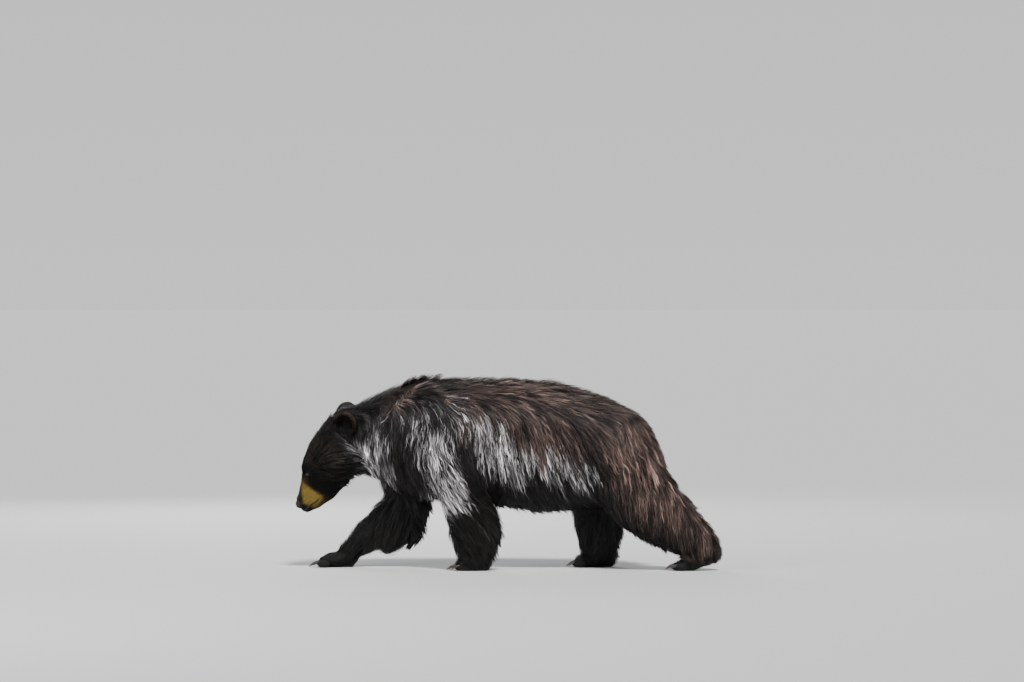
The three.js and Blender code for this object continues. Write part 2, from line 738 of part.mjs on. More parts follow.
const trunk = without(forms.trunk, Object.keys(CUTTERS));
addPiece("neck", trimmed(trunk, NAPE, COLLAR), MATERIALS.coat);
addPiece("chest", trimmed(trunk, COLLAR, GIRTH), MATERIALS.coat);
addPiece("barrel", trimmed(trunk, GIRTH, LOIN), MATERIALS.coat);
addPiece("rump", trimmed(trunk, LOIN), MATERIALS.coat);
addPiece("tail", inside(forms.tail, "tail"), MATERIALS.coat);
for (const side of ["left", "right"]) {
  const shoulder = inside(forms.trunk, `shoulder_${side}`);
  addPiece(`shoulder_${side}`, without(shoulder, [`forearm_${side}`]), MATERIALS.coat);
  const thigh = inside(forms.trunk, `thigh_${side}`);
  addPiece(`thigh_${side}`, without(thigh, [`shank_${side}`, "tail"]), MATERIALS.coat);
  const forearm = inside(forms[`fore_${side}`], `forearm_${side}`);
  addPiece(`forearm_${side}`, without(forearm, [`forepaw_${side}`]), MATERIALS.coat);
  const shank = inside(forms[`hind_${side}`], `shank_${side}`);
  addPiece(`shank_${side}`, without(shank, [`hindfoot_${side}`]), MATERIALS.coat);
}

// A closed tube through points, of one radius.
function tube(points, radius, steps) {
  const path = new THREE.CatmullRomCurve3(points.map((p) => new THREE.Vector3(...p)));
  const circle = new THREE.Path().absarc(0, 0, radius, 0, 2 * Math.PI);
  const round = new THREE.Shape(circle.getSpacedPoints(MOUTH.sides));
  return solidOf(new THREE.ExtrudeGeometry(round, { extrudePath: path, steps }));
}

// A claw: out of the toe forwards and curving down.
function claw(root, forward, length, grow) {
  const across = unit(cross(UP, forward));
  const curve = (t) => plus(plus(root, forward, t * (length + CLAW.root)), UP, -CLAW.droop * t * t);
  const rings = [-grow / length, ...CLAW.rings].map((t) => {
    const [wide, deep] = [CLAW.wide, CLAW.deep].map((half) => (half + grow) * (1 - CLAW.taper * t));
    const centre = curve(t);
    const [left, right] = [-wide, wide].map((x) => plus(centre, across, x));
    return [left, plus(centre, UP, deep), right, plus(centre, UP, -deep)];
  });
  return strand(rings, curve(1 + grow / length));
}

for (const [name, { root, turn, claw: length }] of Object.entries(TOE_ROWS)) {
  const heading = THREE.MathUtils.degToRad(180 + turn);
  const forward = [Math.cos(heading), Math.sin(heading), 0];
  const across = [-forward[1], forward[0], 0];
  const toes = [];
  const claws = [];
  for (let i = 0; i < TOES; i++) {
    const out = i - (TOES - 1) / 2;
    const abreast = plus([root[0], root[1], TOE.rise], across, out * TOE.spacing);
    const centre = plus(abreast, forward, -TOE.arc * out * out);
    const matrix = new THREE.Matrix4()
      .makeTranslation(...centre)
      .multiply(new THREE.Matrix4().makeRotationZ(heading))
      .scale(new THREE.Vector3(...TOE.half));
    toes.push(solidOf(ball(TOE_NET), matrix));
    const clawRoot = plus(plus(centre, forward, TOE.half[0] - CLAW.root), UP, CLAW.rise);
    claws.push((grow) => claw(clawRoot, forward, length, grow));
  }
  const paw = wasm.Manifold.union([forms[name], ...toes]);
  const clawed = claws.reduce((left, made) => left.subtract(made(GAP)), inside(paw, name));
  addPiece(name, clawed.trimByPlane(UP, 0), MATERIALS.coat);
  claws.forEach((made, i) => addPiece(`claw_${name}_${i + 1}`, made(0), MATERIALS.claw));
}

// ---------------------------------------------------------------- the head
// A solid in the head's frame from three axes and half sizes.
function headSolid(geometry, centre, axes, half) {
  const basis = new THREE.Matrix4()
    .makeBasis(...axes.map((a, i) => new THREE.Vector3(...a).multiplyScalar(half[i])))
    .setPosition(...centre);
  return solidOf(geometry, HEAD_FRAME.clone().multiply(basis));
}
const HEAD_AXES = [[1, 0, 0], [0, 1, 0], [0, 0, 1]];
const mirror = ([u, w, v], side) => [u, side * w, v];

let skullForm = trimmed(forms.head.simplify(SIMPLER), null, NAPE);
const onHead = (p) => settle(core, fromHead(p), 4, 20);
const mouthPoints = [
  fromHead(mirror(MOUTH.corner, LEFT)),
  ...MOUTH.half.map((p) => onHead(mirror(p, LEFT))),
  onHead(MOUTH.front),
  ...MOUTH.half.toReversed().map((p) => onHead(mirror(p, RIGHT))),
  fromHead(mirror(MOUTH.corner, RIGHT)),
];
skullForm = skullForm.add(tube(mouthPoints, MOUTH.lip, MOUTH.steps));
const outOfMouth = mouthPoints.map((p) => plus(p, unit(slope(core, p)), MOUTH.lip));
skullForm = skullForm.subtract(tube(outOfMouth, MOUTH.line, MOUTH.steps));

const noseForm = (grow) => headSolid(ball(ROUND_NET), NOSE.centre, HEAD_AXES, grown(NOSE.half, grow));
let nosePad = noseForm(0);
skullForm = skullForm.subtract(noseForm(GAP));

for (const [name, side] of [["left", LEFT], ["right", RIGHT]]) {
  for (const { centre, half } of [NOSE.nostril, NOSE.slit])
    nosePad = nosePad.subtract(headSolid(ball(SMALL_NET), mirror(centre, side), HEAD_AXES, half));

  const gaze = unit(mirror(EYE.gaze, side));
  const corner = unit(cross(gaze, EYE.corner));
  const eyeAxes = [corner, cross(gaze, corner), gaze];
  const eyeCentre = mirror(EYE.centre, side);
  const eyeball = (grow) =>
    headSolid(ball(ROUND_NET), eyeCentre, eyeAxes, [1, 1, 1].map(() => EYE.radius + grow));
  skullForm = skullForm
    .add(eyeball(EYE.lid))
    .subtract(headSolid(ball(OPENING_NET), plus(eyeCentre, gaze, EYE.radius), eyeAxes, EYE.opening))
    .subtract(eyeball(GAP));
  addPiece(`eye_${name}`, eyeball(0), MATERIALS.eye);

  const up = unit(mirror(EAR.up, side));
  const rough = mirror(EAR.facing, side);
  const facing = unit(plus(rough, up, -dot(rough, up)));
  const earAxes = [up, cross(facing, up), facing];
  const earCentre = mirror(EAR.centre, side);
  const outside = (grow) => headSolid(ball(ROUND_NET), earCentre, earAxes, grown(EAR.half, grow));
  const hollowHalf = grown(EAR.half, -EAR.wall);
  const hollowCentre = plus(plus(earCentre, facing, EAR.hollow[0]), up, EAR.hollow[1]);
  const hollow = headSolid(ball(ROUND_NET), hollowCentre, earAxes, hollowHalf);
  const rimNormal = minus(fromHead(facing), fromHead([0, 0, 0]));
  const rimPoint = fromHead(plus(earCentre, facing, EAR.rim));
  const cup = outside(0).subtract(hollow).trimByPlane(times(rimNormal, -1), -dot(rimNormal, rimPoint));
  skullForm = skullForm.subtract(outside(GAP));
  addPiece(`ear_${name}`, cup, MATERIALS.coat);
}
addPiece("nose", nosePad, MATERIALS.nose);
addPiece("head", skullForm, MATERIALS.coat);

const whole = new THREE.Box3().setFromObject(bear);
const middle = whole.getCenter(new THREE.Vector3());
bear.children.forEach((mesh) => mesh.position.set(-middle.x, -middle.y, -whole.min.z));

export default bear;
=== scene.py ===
"""The looks of a life-size American black bear that walks with its head low.

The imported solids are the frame. The skin and its coat are made from rows of stations, like those that shape
the solids: the skin lies under the coat, and tufts of mesh run from it out to the coat's tips.
Design sizes are millimetres, with +X to the tail, +Y to the animal's right and +Z up. Blender gets metres.
"""

import math
from collections import namedtuple

import bmesh
import bpy
import numpy as np
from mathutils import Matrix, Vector
from mathutils.kdtree import KDTree


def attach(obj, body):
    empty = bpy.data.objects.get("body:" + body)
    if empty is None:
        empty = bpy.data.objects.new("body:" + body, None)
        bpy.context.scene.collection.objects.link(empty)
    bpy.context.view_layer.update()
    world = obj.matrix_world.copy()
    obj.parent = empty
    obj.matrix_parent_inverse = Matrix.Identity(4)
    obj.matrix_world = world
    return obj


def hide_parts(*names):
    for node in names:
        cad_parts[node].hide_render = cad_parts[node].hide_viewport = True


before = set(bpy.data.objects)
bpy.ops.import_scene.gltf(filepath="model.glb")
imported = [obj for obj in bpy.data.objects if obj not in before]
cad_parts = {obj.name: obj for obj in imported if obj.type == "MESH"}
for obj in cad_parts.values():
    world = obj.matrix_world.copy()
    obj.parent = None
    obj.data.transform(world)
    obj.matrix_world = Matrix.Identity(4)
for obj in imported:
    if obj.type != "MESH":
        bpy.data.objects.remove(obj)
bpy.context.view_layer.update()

MM = 0.001
ENDLESS = 1e9  # further than any distance
LEFT, RIGHT = -1, 1
LATERAL = np.array([0.0, 1.0, 0.0])
UP = np.array([0.0, 0.0, 1.0])

# ---------------------------------------------------------------- the body's stations
# A station: centre x, y, z, half depth in the limb's plane, half width, and the coat's depth. They are the
# solids' stations, but the first two of the spine and those of the tail follow the photograph's rump closer.
SPINE = [
    (530, 0, 482, 122, 138, 36),
    (440, 0, 493, 198, 188, 42),
    (310, 0, 511, 255, 212, 46),
    (150, 0, 528, 277, 224, 48),
    (0, 0, 545, 271, 224, 48),
    (-140, 0, 554, 261, 212, 46),
    (-270, 0, 558, 258, 198, 44),
    (-375, 0, 563, 248, 186, 44),
    (-465, 0, 572, 207, 164, 40),
    (-555, 0, 569, 165, 146, 38),
    (-635, 0, 558, 138, 132, 32),
]
TAIL = [(576, 0, 521, 42, 42, 26), (630, 0, 470, 30, 34, 24), (668, 0, 414, 22, 26, 20)]
LEGS = {
    "fore_left": {
        "column": [
            (-320, -85, 640, 120, 88, 40),
            (-300, -126, 500, 130, 92, 42),
            (-215, -146, 370, 106, 82, 44),
            (-190, -140, 250, 90, 70, 40),
            (-175, -131, 170, 84, 62, 36),
            (-165, -125, 100, 72, 56, 26),
            (-155, -122, 62, 58, 53, 16),
        ],
        "paw": [(-110, -128, 35, 40, 48, 12), (-178, -120, 30, 34, 58, 10), (-206, -115, 24, 26, 54, 8)],
        "fringe": [(-122, -140, 262, 62, 54, 56), (-94, -132, 174, 62, 46, 58), (-106, -125, 90, 46, 42, 40)],
    },
    "fore_right": {
        "column": [
            (-340, 85, 640, 120, 88, 40),
            (-410, 124, 500, 122, 88, 42),
            (-455, 138, 380, 104, 80, 42),
            (-432, 134, 285, 96, 72, 42),
            (-520, 128, 210, 86, 66, 38),
            (-612, 124, 132, 70, 58, 28),
            (-690, 121, 72, 46, 52, 14),
        ],
        "paw": [(-692, 126, 37, 40, 48, 12), (-768, 118, 30, 32, 58, 10), (-800, 113, 24, 24, 54, 8)],
        "fringe": [(-415, 134, 290, 60, 56, 56), (-432, 130, 168, 70, 50, 66), (-520, 126, 108, 60, 46, 56)],
    },
    "hind_left": {
        "column": [
            (470, -92, 545, 150, 104, 42),
            (488, -130, 420, 168, 98, 42),
            (565, -134, 305, 148, 82, 42),
            (655, -131, 232, 124, 70, 40),
            (730, -128, 172, 102, 62, 34),
            (810, -124, 118, 78, 54, 24),
            (858, -122, 88, 50, 46, 14),
        ],
        "paw": [(866, -124, 72, 42, 42, 10), (772, -120, 32, 36, 52, 10), (728, -117, 24, 26, 50, 8)],
        "fringe": [(624, -134, 362, 84, 58, 56), (755, -130, 222, 64, 50, 56), (848, -124, 128, 42, 42, 38)],
    },
    "hind_right": {
        "column": [
            (450, 92, 545, 150, 104, 42),
            (385, 130, 410, 136, 92, 42),
            (372, 134, 290, 114, 76, 42),
            (380, 130, 185, 100, 66, 40),
            (388, 126, 105, 84, 58, 28),
            (398, 123, 64, 60, 52, 14),
        ],
        "paw": [(430, 124, 37, 42, 44, 12), (345, 120, 30, 36, 52, 10), (306, 117, 24, 26, 50, 8)],
        "fringe": [(436, 132, 270, 58, 54, 54), (436, 128, 152, 50, 48, 46), (425, 124, 80, 42, 42, 28)],
    },
}
# The head has a frame of its own: u runs to the nose, w to the right and v up out of the crown.
HEAD_CENTRE = np.array([-735.0, 0.0, 555.0])
HEAD_DROP = math.radians(61)
HEAD_LEAN = math.radians(7)
SKULL = [
    (-66, 0, 2, 86, 114, 24),
    (0, 0, -5, 100, 128, 20),
    (70, 0, -7, 105, 126, 16),
    (130, 0, -9, 99, 100, 12),
    (185, 0, -15, 81, 66, 8),
    (245, 0, -16, 62, 48, 6),
    (300, 0, -6, 40, 40, 5),
]
JAW = [
    (60, 0, -70, 70, 86, 22),
    (140, 0, -72, 52, 62, 14),
    (215, 0, -68, 36, 44, 8),
    (285, 0, -44, 22, 30, 6),
    (322, 0, -26, 16, 22, 5),
]
# Cheek and brow: centre, half sizes, the coat's depth, and how softly each joins the head.
HEAD_MASSES = [((46, 76, -42), (80, 66, 72), 20, 40), ((156, 36, 58), (34, 26, 26), 8, 24)]
# How softly forms join, in millimetres: a chain's own stations, and then one form with the next.
SOFT = {
    "spine": 30,
    "tail": 12,
    "column": 20,
    "paw": 12,
    "fringe": 12,
    "skull": 16,
    "jaw": 14,
    "jaw to skull": 34,
    "head to neck": 50,
    "paw to leg": 24,
    "fringe to leg": 30,
    "leg to trunk": 60,
    "tail to trunk": 40,
    "toes to paw": 7,
    "nostril": 3,
}
EYE = {"centre": (187, 44, 42), "radius": 11.5, "gaze": (0.34, 0.9, 0.24), "opening": (10.0, 6.0)}
EAR = {
    "centre": (-97, 117, 12),
    "half": (58, 49, 29),
    "up": (-0.84, 0.4, 0.36),
    "facing": (0.35, 0.9, 0.1),
    "wall": 3.6,
    "rim": 12,
}
NOSE = {"centre": (321, 0, 9), "half": (23, 25, 20.5)}
NOSTRIL = {"centre": (341, 12, 9), "half": (14, 6.5, 7)}
SLIT = {"centre": (334, 22, 4), "half": (12, 7, 3.2)}
# The line of the mouth, from its right corner to the middle.
MOUTH = [
    (238, 40, -62),
    (256, 47, -53),
    (280, 43, -43),
    (304, 38, -33),
    (324, 28, -24),
    (335, 14, -19),
    (340, 0, -18),
]
TOES = 5
TOE = {"half": (31, 13, 20), "spacing": 22.5, "rise": 17, "arc": 3}
CLAW = {"wide": 4.5, "deep": 7.5, "root": 14, "rise": 5, "droop": 20}
TOE_ROWS = {
    "forepaw_left": {"root": (-208, -114), "turn": 8, "claw": 32},
    "forepaw_right": {"root": (-806, 113), "turn": -8, "claw": 32},
    "hindfoot_left": {"root": (720, -116), "turn": 6, "claw": 24},
    "hindfoot_right": {"root": (300, 116), "turn": -6, "claw": 24},
}


# ---------------------------------------------------------------- small maths on rows of points
def unit(a):
    return a / np.maximum(np.linalg.norm(a, axis=-1, keepdims=True), 1e-9)


def dot(a, b):
    return np.sum(a * b, axis=-1)


def mix(a, b, t):
    return a + (b - a) * t


def smoothstep(low, high, x):
    t = np.clip((x - low) / (high - low), 0, 1)
    return t * t * (3 - 2 * t)


def bell(x):
    return np.exp(-(x**2))


def smooth_min(a, b, k):
    h = np.maximum(k - np.abs(a - b), 0) / k
    return np.minimum(a, b) - h * h * k * 0.25


def ellipsoid(offsets, half):
    """Distance from an ellipsoid's surface, of offsets from its centre."""
    k0 = np.linalg.norm(offsets / half, axis=-1)
    k1 = np.linalg.norm(offsets / np.square(half), axis=-1)
    return k0 * (k0 - 1) / np.maximum(k1, 1e-9)


def head_axes():
    """The directions u, w and v of the head's frame, as rows."""
    u = np.array([-math.cos(HEAD_DROP), 0, -math.sin(HEAD_DROP)])
    v = np.array([-math.sin(HEAD_DROP), 0, math.cos(HEAD_DROP)])
    c, s = math.cos(HEAD_LEAN), math.sin(HEAD_LEAN)
    lean = np.array([[1, 0, 0], [0, c, -s], [0, s, c]])
    return np.stack([u, LATERAL, v]) @ lean.T


HEAD_AXES = head_axes()


def to_head(points):
    return (points - HEAD_CENTRE) @ HEAD_AXES.T


def from_head(points):
    return np.asarray(points, float) @ HEAD_AXES + HEAD_CENTRE


def mirrored(point, side):
    return np.array([point[0], side * point[1], point[2]], float)


# ---------------------------------------------------------------- the distance field
COAT_REACH = 25  # how far one form's depth of coat reaches into the next


def mixed_coat(forms):
    """The coat's depth where several forms meet, the nearest ones counting most."""
    nearest = np.min([d for d, _ in forms], axis=0)
    weights = [np.exp((nearest - d) / COAT_REACH) for d, _ in forms]
    return sum(w * coat for w, (_, coat) in zip(weights, forms)) / sum(weights)


def segment(points, a, b):
    """Distance to the elliptic cone between two stations, and the coat's depth there."""
    a, b = np.array(a, float), np.array(b, float)
    along = b[:3] - a[:3]
    axis = unit(along)
    side = unit(LATERAL - dot(LATERAL, axis) * axis)
    up = np.cross(axis, side)
    offsets = points - a[:3]
    t = np.clip(offsets @ along / dot(along, along), 0, 1)
    offsets = offsets - t[:, None] * along
    deep, wide, coat = (mix(a[i], b[i], t) for i in (3, 4, 5))
    parts = np.stack([offsets @ axis, offsets @ up, offsets @ side], 1)
    return ellipsoid(parts, np.stack([deep, deep, wide], 1)), coat


NEAR = 150  # beyond this from a chain of stations its form is only far
FAR = 300.0  # the distance given there


def close_to(points, stations):
    rows = np.array(stations, float)
    reach = rows[:, 3:5].max() + NEAR
    low, high = rows[:, :3].min(axis=0) - reach, rows[:, :3].max(axis=0) + reach
    return np.all((points > low) & (points < high), axis=1)


def chain(points, stations, k):
    """Distance to a row of stations joined softly by k, and the coat's depth."""
    near = close_to(points, stations)
    distance, coat = np.full(len(points), FAR), np.full(len(points), float(stations[0][5]))
    forms = [segment(points[near], a, b) for a, b in zip(stations, stations[1:])]
    joined = forms[0][0]
    for d, _ in forms[1:]:
        joined = smooth_min(joined, d, k)
    distance[near], coat[near] = joined, mixed_coat(forms)
    return distance, coat


def head_form(points):
    q = to_head(points)
    forms = [chain(q, SKULL, SOFT["skull"]), chain(q, JAW, SOFT["jaw"])]
    distance = smooth_min(forms[0][0], forms[1][0], SOFT["jaw to skull"])
    for centre, half, coat, k in HEAD_MASSES:
        for side in (LEFT, RIGHT):
            d = ellipsoid(q - mirrored(centre, side), np.array(half, float))
            forms.append((d, np.full(len(d), float(coat))))
            distance = smooth_min(distance, d, k)
    return distance, mixed_coat(forms)


def body_form(points):
    """Distance to the tips of the coat, and the coat's depth."""
    spine = chain(points, SPINE, SOFT["spine"])
    head = head_form(points)
    forms = [spine, head]
    distance = smooth_min(spine[0], head[0], SOFT["head to neck"])
    for leg in LEGS.values():
        column, paw, fringe = (chain(points, leg[part], SOFT[part]) for part in ("column", "paw", "fringe"))
        forms += [column, paw, fringe]
        limb = smooth_min(column[0], paw[0], SOFT["paw to leg"])
        limb = smooth_min(limb, fringe[0], SOFT["fringe to leg"])
        distance = smooth_min(distance, limb, SOFT["leg to trunk"])
    tail = chain(points, TAIL, SOFT["tail"])
    forms.append(tail)
    return smooth_min(distance, tail[0], SOFT["tail to trunk"]), mixed_coat(forms)


def grid_points(low, count, cell):
    axes = [low[i] + cell * np.arange(count[i]) for i in range(3)]
    return np.stack(np.meshgrid(*axes, indexing="ij"), -1)


class Volume:
    """The body's form on a grid: distance to the coat's tips, its slope, and the coat's depth."""

    def __init__(self, low, high, cell):
        self.low = np.array(low, float)
        self.high = np.array(high, float)
        self.cell = cell
        self.count = np.ceil((self.high - self.low) / cell).astype(int) + 1
        self.points = grid_points(self.low, self.count, cell)
        distance, coat = (x.reshape(self.count) for x in in_batches(body_form, self.points.reshape(-1, 3)))
        slopes = np.gradient(distance, cell)
        self.values = np.stack([distance, *slopes, coat], -1).astype(np.float32)

    def holds(self, points):
        return np.all((points > self.low + self.cell) & (points < self.high - self.cell), axis=1)

    def read(self, points):
        where = (points - self.low) / self.cell
        base = np.clip(np.floor(where).astype(int), 0, self.count - 2)
        part = np.clip(where - base, 0, 1)
        out = np.zeros((len(points), 5))
        for corner in np.ndindex(2, 2, 2):
            weight = np.prod(np.where(corner, part, 1 - part), axis=1)
            out += weight[:, None] * self.values[tuple((base + corner).T)]
        return out


BATCH = 200_000


def in_batches(form, points):
    made = [form(points[i : i + BATCH]) for i in range(0, len(points), BATCH)]
    return [np.concatenate(parts) for parts in zip(*made)]


# The grids: low and high corner, and size of a cell. The head's is finer.
BODY = Volume((-985, -275, -24), (962, 275, 880), 11)
HEAD = Volume((-965, -190, 215), (-600, 190, 730), 5)
LONGEST_STEP = 30  # how far settling moves a point at once


def form_at(points):
    """Distance to the coat's tips, its slope and the coat's depth, read off the grids."""
    made = BODY.read(points)
    near = HEAD.holds(points)
    made[near] = HEAD.read(points[near])
    return made[:, 0], made[:, 1:4], made[:, 4]


def settle(points, depth, rounds=2):
    """Moves points to a depth under the coat's tips. Returns them and the outward directions there."""
    for _ in range(rounds):
        distance, slope, _ = form_at(points)
        step = (distance + depth) / np.maximum(dot(slope, slope), 0.1)
        points = points - np.clip(step, -LONGEST_STEP, LONGEST_STEP)[:, None] * slope
    return points, unit(form_at(points)[1])


SKIN_SHORT = 0.85  # how deep the skin lies under a short coat's tips, as a share of the coat's depth
SKIN_LONG = 0.56  # and under a long coat, which is where the solids' core lies
SHORT_TO_LONG = (18, 32)  # over these depths a short coat becomes a long one


def skin_depth(coat):
    return coat * mix(SKIN_SHORT, SKIN_LONG, smoothstep(*SHORT_TO_LONG, coat))


# ---------------------------------------------------------------- meshes
def find_offset():
    """The way from the design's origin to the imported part's, read off the node of an eye."""
    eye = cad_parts["eye_left"]
    corners = np.array([eye.matrix_world @ v.co for v in eye.data.vertices]) / MM
    return corners.mean(axis=0) - from_head(mirrored(EYE["centre"], LEFT))


OFFSET = find_offset()


def new_mesh(name, metres, corners, starts, smooth=True):
    """A mesh from rows of points, the points of its faces' corners, and where each face starts in those."""
    mesh = bpy.data.meshes.new(name)
    mesh.vertices.add(len(metres))
    mesh.vertices.foreach_set("co", metres.ravel())
    mesh.loops.add(len(corners))
    mesh.loops.foreach_set("vertex_index", corners)
    mesh.polygons.add(len(starts))
    mesh.polygons.foreach_set("loop_start", starts)
    mesh.polygons.foreach_set("use_smooth", np.full(len(starts), smooth))
    mesh.update(calc_edges=True)
    return mesh


def place_object(name, data):
    made = bpy.data.objects.new(name, data)
    bpy.context.collection.objects.link(made)
    return made


def mesh_piece(name, points, faces, material, smooth=True, offset=True):
    """An object from points in design millimetres, or in metres without offset, and faces of one size."""
    faces = np.asarray(faces)
    points = np.asarray(points, float)
    metres = (points + OFFSET) * MM if offset else points
    mesh = new_mesh(name, metres, faces.ravel(), np.arange(0, faces.size, faces.shape[1]), smooth)
    mesh.validate()
    mesh.materials.append(material)
    return place_object(name, mesh)


def colour_points(piece, name, colours):
    made = piece.data.color_attributes.new(name, "FLOAT_COLOR", "POINT")
    rows = np.concatenate([colours, np.ones((len(colours), 1))], 1)
    made.data.foreach_set("color", rows.ravel())


def number_points(piece, name, values):
    made = piece.data.attributes.new(name, "FLOAT", "POINT")
    made.data.foreach_set("value", np.asarray(values, float).ravel())


def vector_points(piece, name, vectors):
    made = piece.data.attributes.new(name, "FLOAT_VECTOR", "POINT")
    made.data.foreach_set("vector", vectors.ravel())


def ring_faces(rows, across, closed=True):
    """Quads between rows of points that lie one after another."""
    count = across if closed else across - 1
    i, j = np.meshgrid(np.arange(rows - 1), np.arange(count), indexing="ij")
    a, b = i * across + j, i * across + (j + 1) % across
    return np.stack([a, b, b + across, a + across], -1).reshape(-1, 4)


def nets(values, low, cell):
    """A closed quad surface where a grid of values changes sign, by surface nets."""
    count = np.array(values.shape)
    inside = values < 0
    corners = list(np.ndindex(2, 2, 2))
    shifted = (tuple(slice(a, n - 1 + a) for a, n in zip(corner, count)) for corner in corners)
    hits = sum(inside[where].astype(int) for where in shifted)
    cells = np.argwhere((hits > 0) & (hits < 8))
    index = np.full(count - 1, -1)
    index[tuple(cells.T)] = np.arange(len(cells))
    total = np.zeros((len(cells), 3))
    crossings = np.zeros(len(cells))
    for corner in corners:
        for axis in range(3):
            if corner[axis]:
                continue
            a = cells + corner
            b = a + np.eye(3, dtype=int)[axis]
            va, vb = values[tuple(a.T)], values[tuple(b.T)]
            cut = (va < 0) != (vb < 0)
            t = va[cut] / (va[cut] - vb[cut])
            total[cut] += a[cut] + (b - a)[cut] * t[:, None]
            crossings[cut] += 1
    points = np.array(low) + cell * total / crossings[:, None]
    quads = []
    for axis in range(3):
        b, c = [i for i in range(3) if i != axis]
        first = [slice(1, n - 1) for n in count]
        second = list(first)
        first[axis], second[axis] = slice(0, count[axis] - 1), slice(1, count[axis])
        here = inside[tuple(first)]
        edges = np.argwhere(here != inside[tuple(second)])
        out = here[tuple(edges.T)]
        edges[:, b] += 1
        edges[:, c] += 1

        def cell_at(db, dc):
            near = edges.copy()
            near[:, b] -= db
            near[:, c] -= dc
            return index[tuple(near.T)]

        quad = np.stack([cell_at(1, 1), cell_at(0, 1), cell_at(0, 0), cell_at(1, 0)], 1)
        turned = out if axis == 1 else ~out
        quad[turned] = quad[turned][:, ::-1]
        quads.append(quad)
    return points, np.concatenate(quads)


# ---------------------------------------------------------------- toes and claws
def toe_rows():
    """For each paw, its heading and the centres of its toes."""
    rows = {}
    for name, row in TOE_ROWS.items():
        heading = math.radians(180 + row["turn"])
        forward = np.array([math.cos(heading), math.sin(heading), 0])
        across = np.array([-forward[1], forward[0], 0])
        root = np.array([*row["root"], TOE["rise"]], float)
        places = [i - (TOES - 1) / 2 for i in range(TOES)]
        centres = [root + across * at * TOE["spacing"] - forward * TOE["arc"] * at * at for at in places]
        rows[name] = {"forward": forward, "across": across, "centres": centres, "claw": row["claw"]}
    return rows


PAWS = toe_rows()
MIDDLE_TOE = TOES // 2
TOE_COAT = 3.0
TOES_REACH = 130  # the toes of a paw lie within this of its middle toe
TOES_FAR = 200.0  # the distance given beyond it


def from_paw(points, paw):
    return np.linalg.norm(points - paw["centres"][MIDDLE_TOE], axis=1)


def toes_distance(points):
    """Distance to the toes' skin. Far from the paws it is only large."""
    distance = np.full(len(points), TOES_FAR)
    for paw in PAWS.values():
        near = from_paw(points, paw) < TOES_REACH
        axes = np.stack([paw["forward"], paw["across"], UP])
        for centre in paw["centres"]:
            toe = ellipsoid((points[near] - centre) @ axes.T, np.array(TOE["half"]) - TOE_COAT)
            distance[near] = np.minimum(distance[near], toe)
    return distance


SOLE_RISE = 30  # below this height the skin comes out to the solids' outline, down to the sole
SOLE_SHARE = 0.1  # what is left of the skin's depth at the sole
SOLE_LEVEL = 0.2  # the soles lie this far over the floor


def skin_distance(points):
    """Distance to the skin: under the coat's tips, out at the soles, with toes, and flat on the floor."""
    distance, _, coat = form_at(points)
    bare = smoothstep(0, SOLE_RISE, points[:, 2])
    skin = distance + skin_depth(coat) * mix(SOLE_SHARE, 1, bare)
    skin = smooth_min(skin, toes_distance(points), SOFT["toes to paw"])
    skin = skin + head_relief(points)
    return np.maximum(skin, -points[:, 2] + SOLE_LEVEL)


# Hollows and folds of the face, in the head's frame: centre, size and depth inwards. Each is laid on both
# sides, so one on the middle line counts twice.
FACE_RELIEF = [
    ((196, 40, 26), 15, 4.5),  # in front of and below the eye
    ((206, 50, 44), 9, 2.5),
    ((170, 58, 44), 10, 2.0),  # behind the eye
    ((182, 40, 62), 9, -2.6),  # the fold of the brow
    ((292, 0, 36), 26, -2.2),  # the bridge
    ((262, 0, 47), 24, -1.4),
    ((308, 0, 29), 15, -2.2),
    ((262, 40, -20), 16, -2.4),  # the pad of the upper lip
    ((296, 34, -8), 12, -1.6),
]


def head_relief(points):
    """How far the face's skin lies inside its plain form."""
    relief = np.zeros(len(points))
    near = HEAD.holds(points)
    q = to_head(points[near])
    inwards = np.zeros(len(q))
    for centre, size, deep in FACE_RELIEF:
        for side in (LEFT, RIGHT):
            inwards += deep * np.exp(-np.sum((q - mirrored(centre, side)) ** 2, 1) / size**2)
    relief[near] = inwards
    return relief


def slope_of(distance, points, step=1.0):
    ways = step * np.eye(3)
    return np.stack([(distance(points + e) - distance(points - e)) / (2 * step) for e in ways], 1)


# ---------------------------------------------------------------- colours of the coat
# Black: the legs' own black, deepened as painted shade low under the body, and the painted shade of the shade
# bands.
BLACK_AND_SHADE = np.array([0.0062, 0.0060, 0.0052])
COAL = np.array([0.0095, 0.0080, 0.0078])
BROWN = np.array([0.1260, 0.0820, 0.0690])
# Painted sheen: a pale grey laid on the hair where light glints off the glossy coat.
PAINTED_SHEEN = np.array([0.4300, 0.4120, 0.4170])
PARTING_TAN = np.array([0.4200, 0.3000, 0.2400])
MUZZLE_TAN = np.array([0.1550, 0.1040, 0.0230])
MUZZLE_BROWN = np.array([0.0510, 0.0374, 0.0136])
FACE = np.array([0.0060, 0.0051, 0.0041])
# The cheek's brown hair, lit up by a painted sheen.
CHEEK_SHEEN = np.array([0.0300, 0.0235, 0.0170])
EAR_RIM = np.array([0.0900, 0.0650, 0.0330])
PAD = np.array([0.0180, 0.0150, 0.0140])
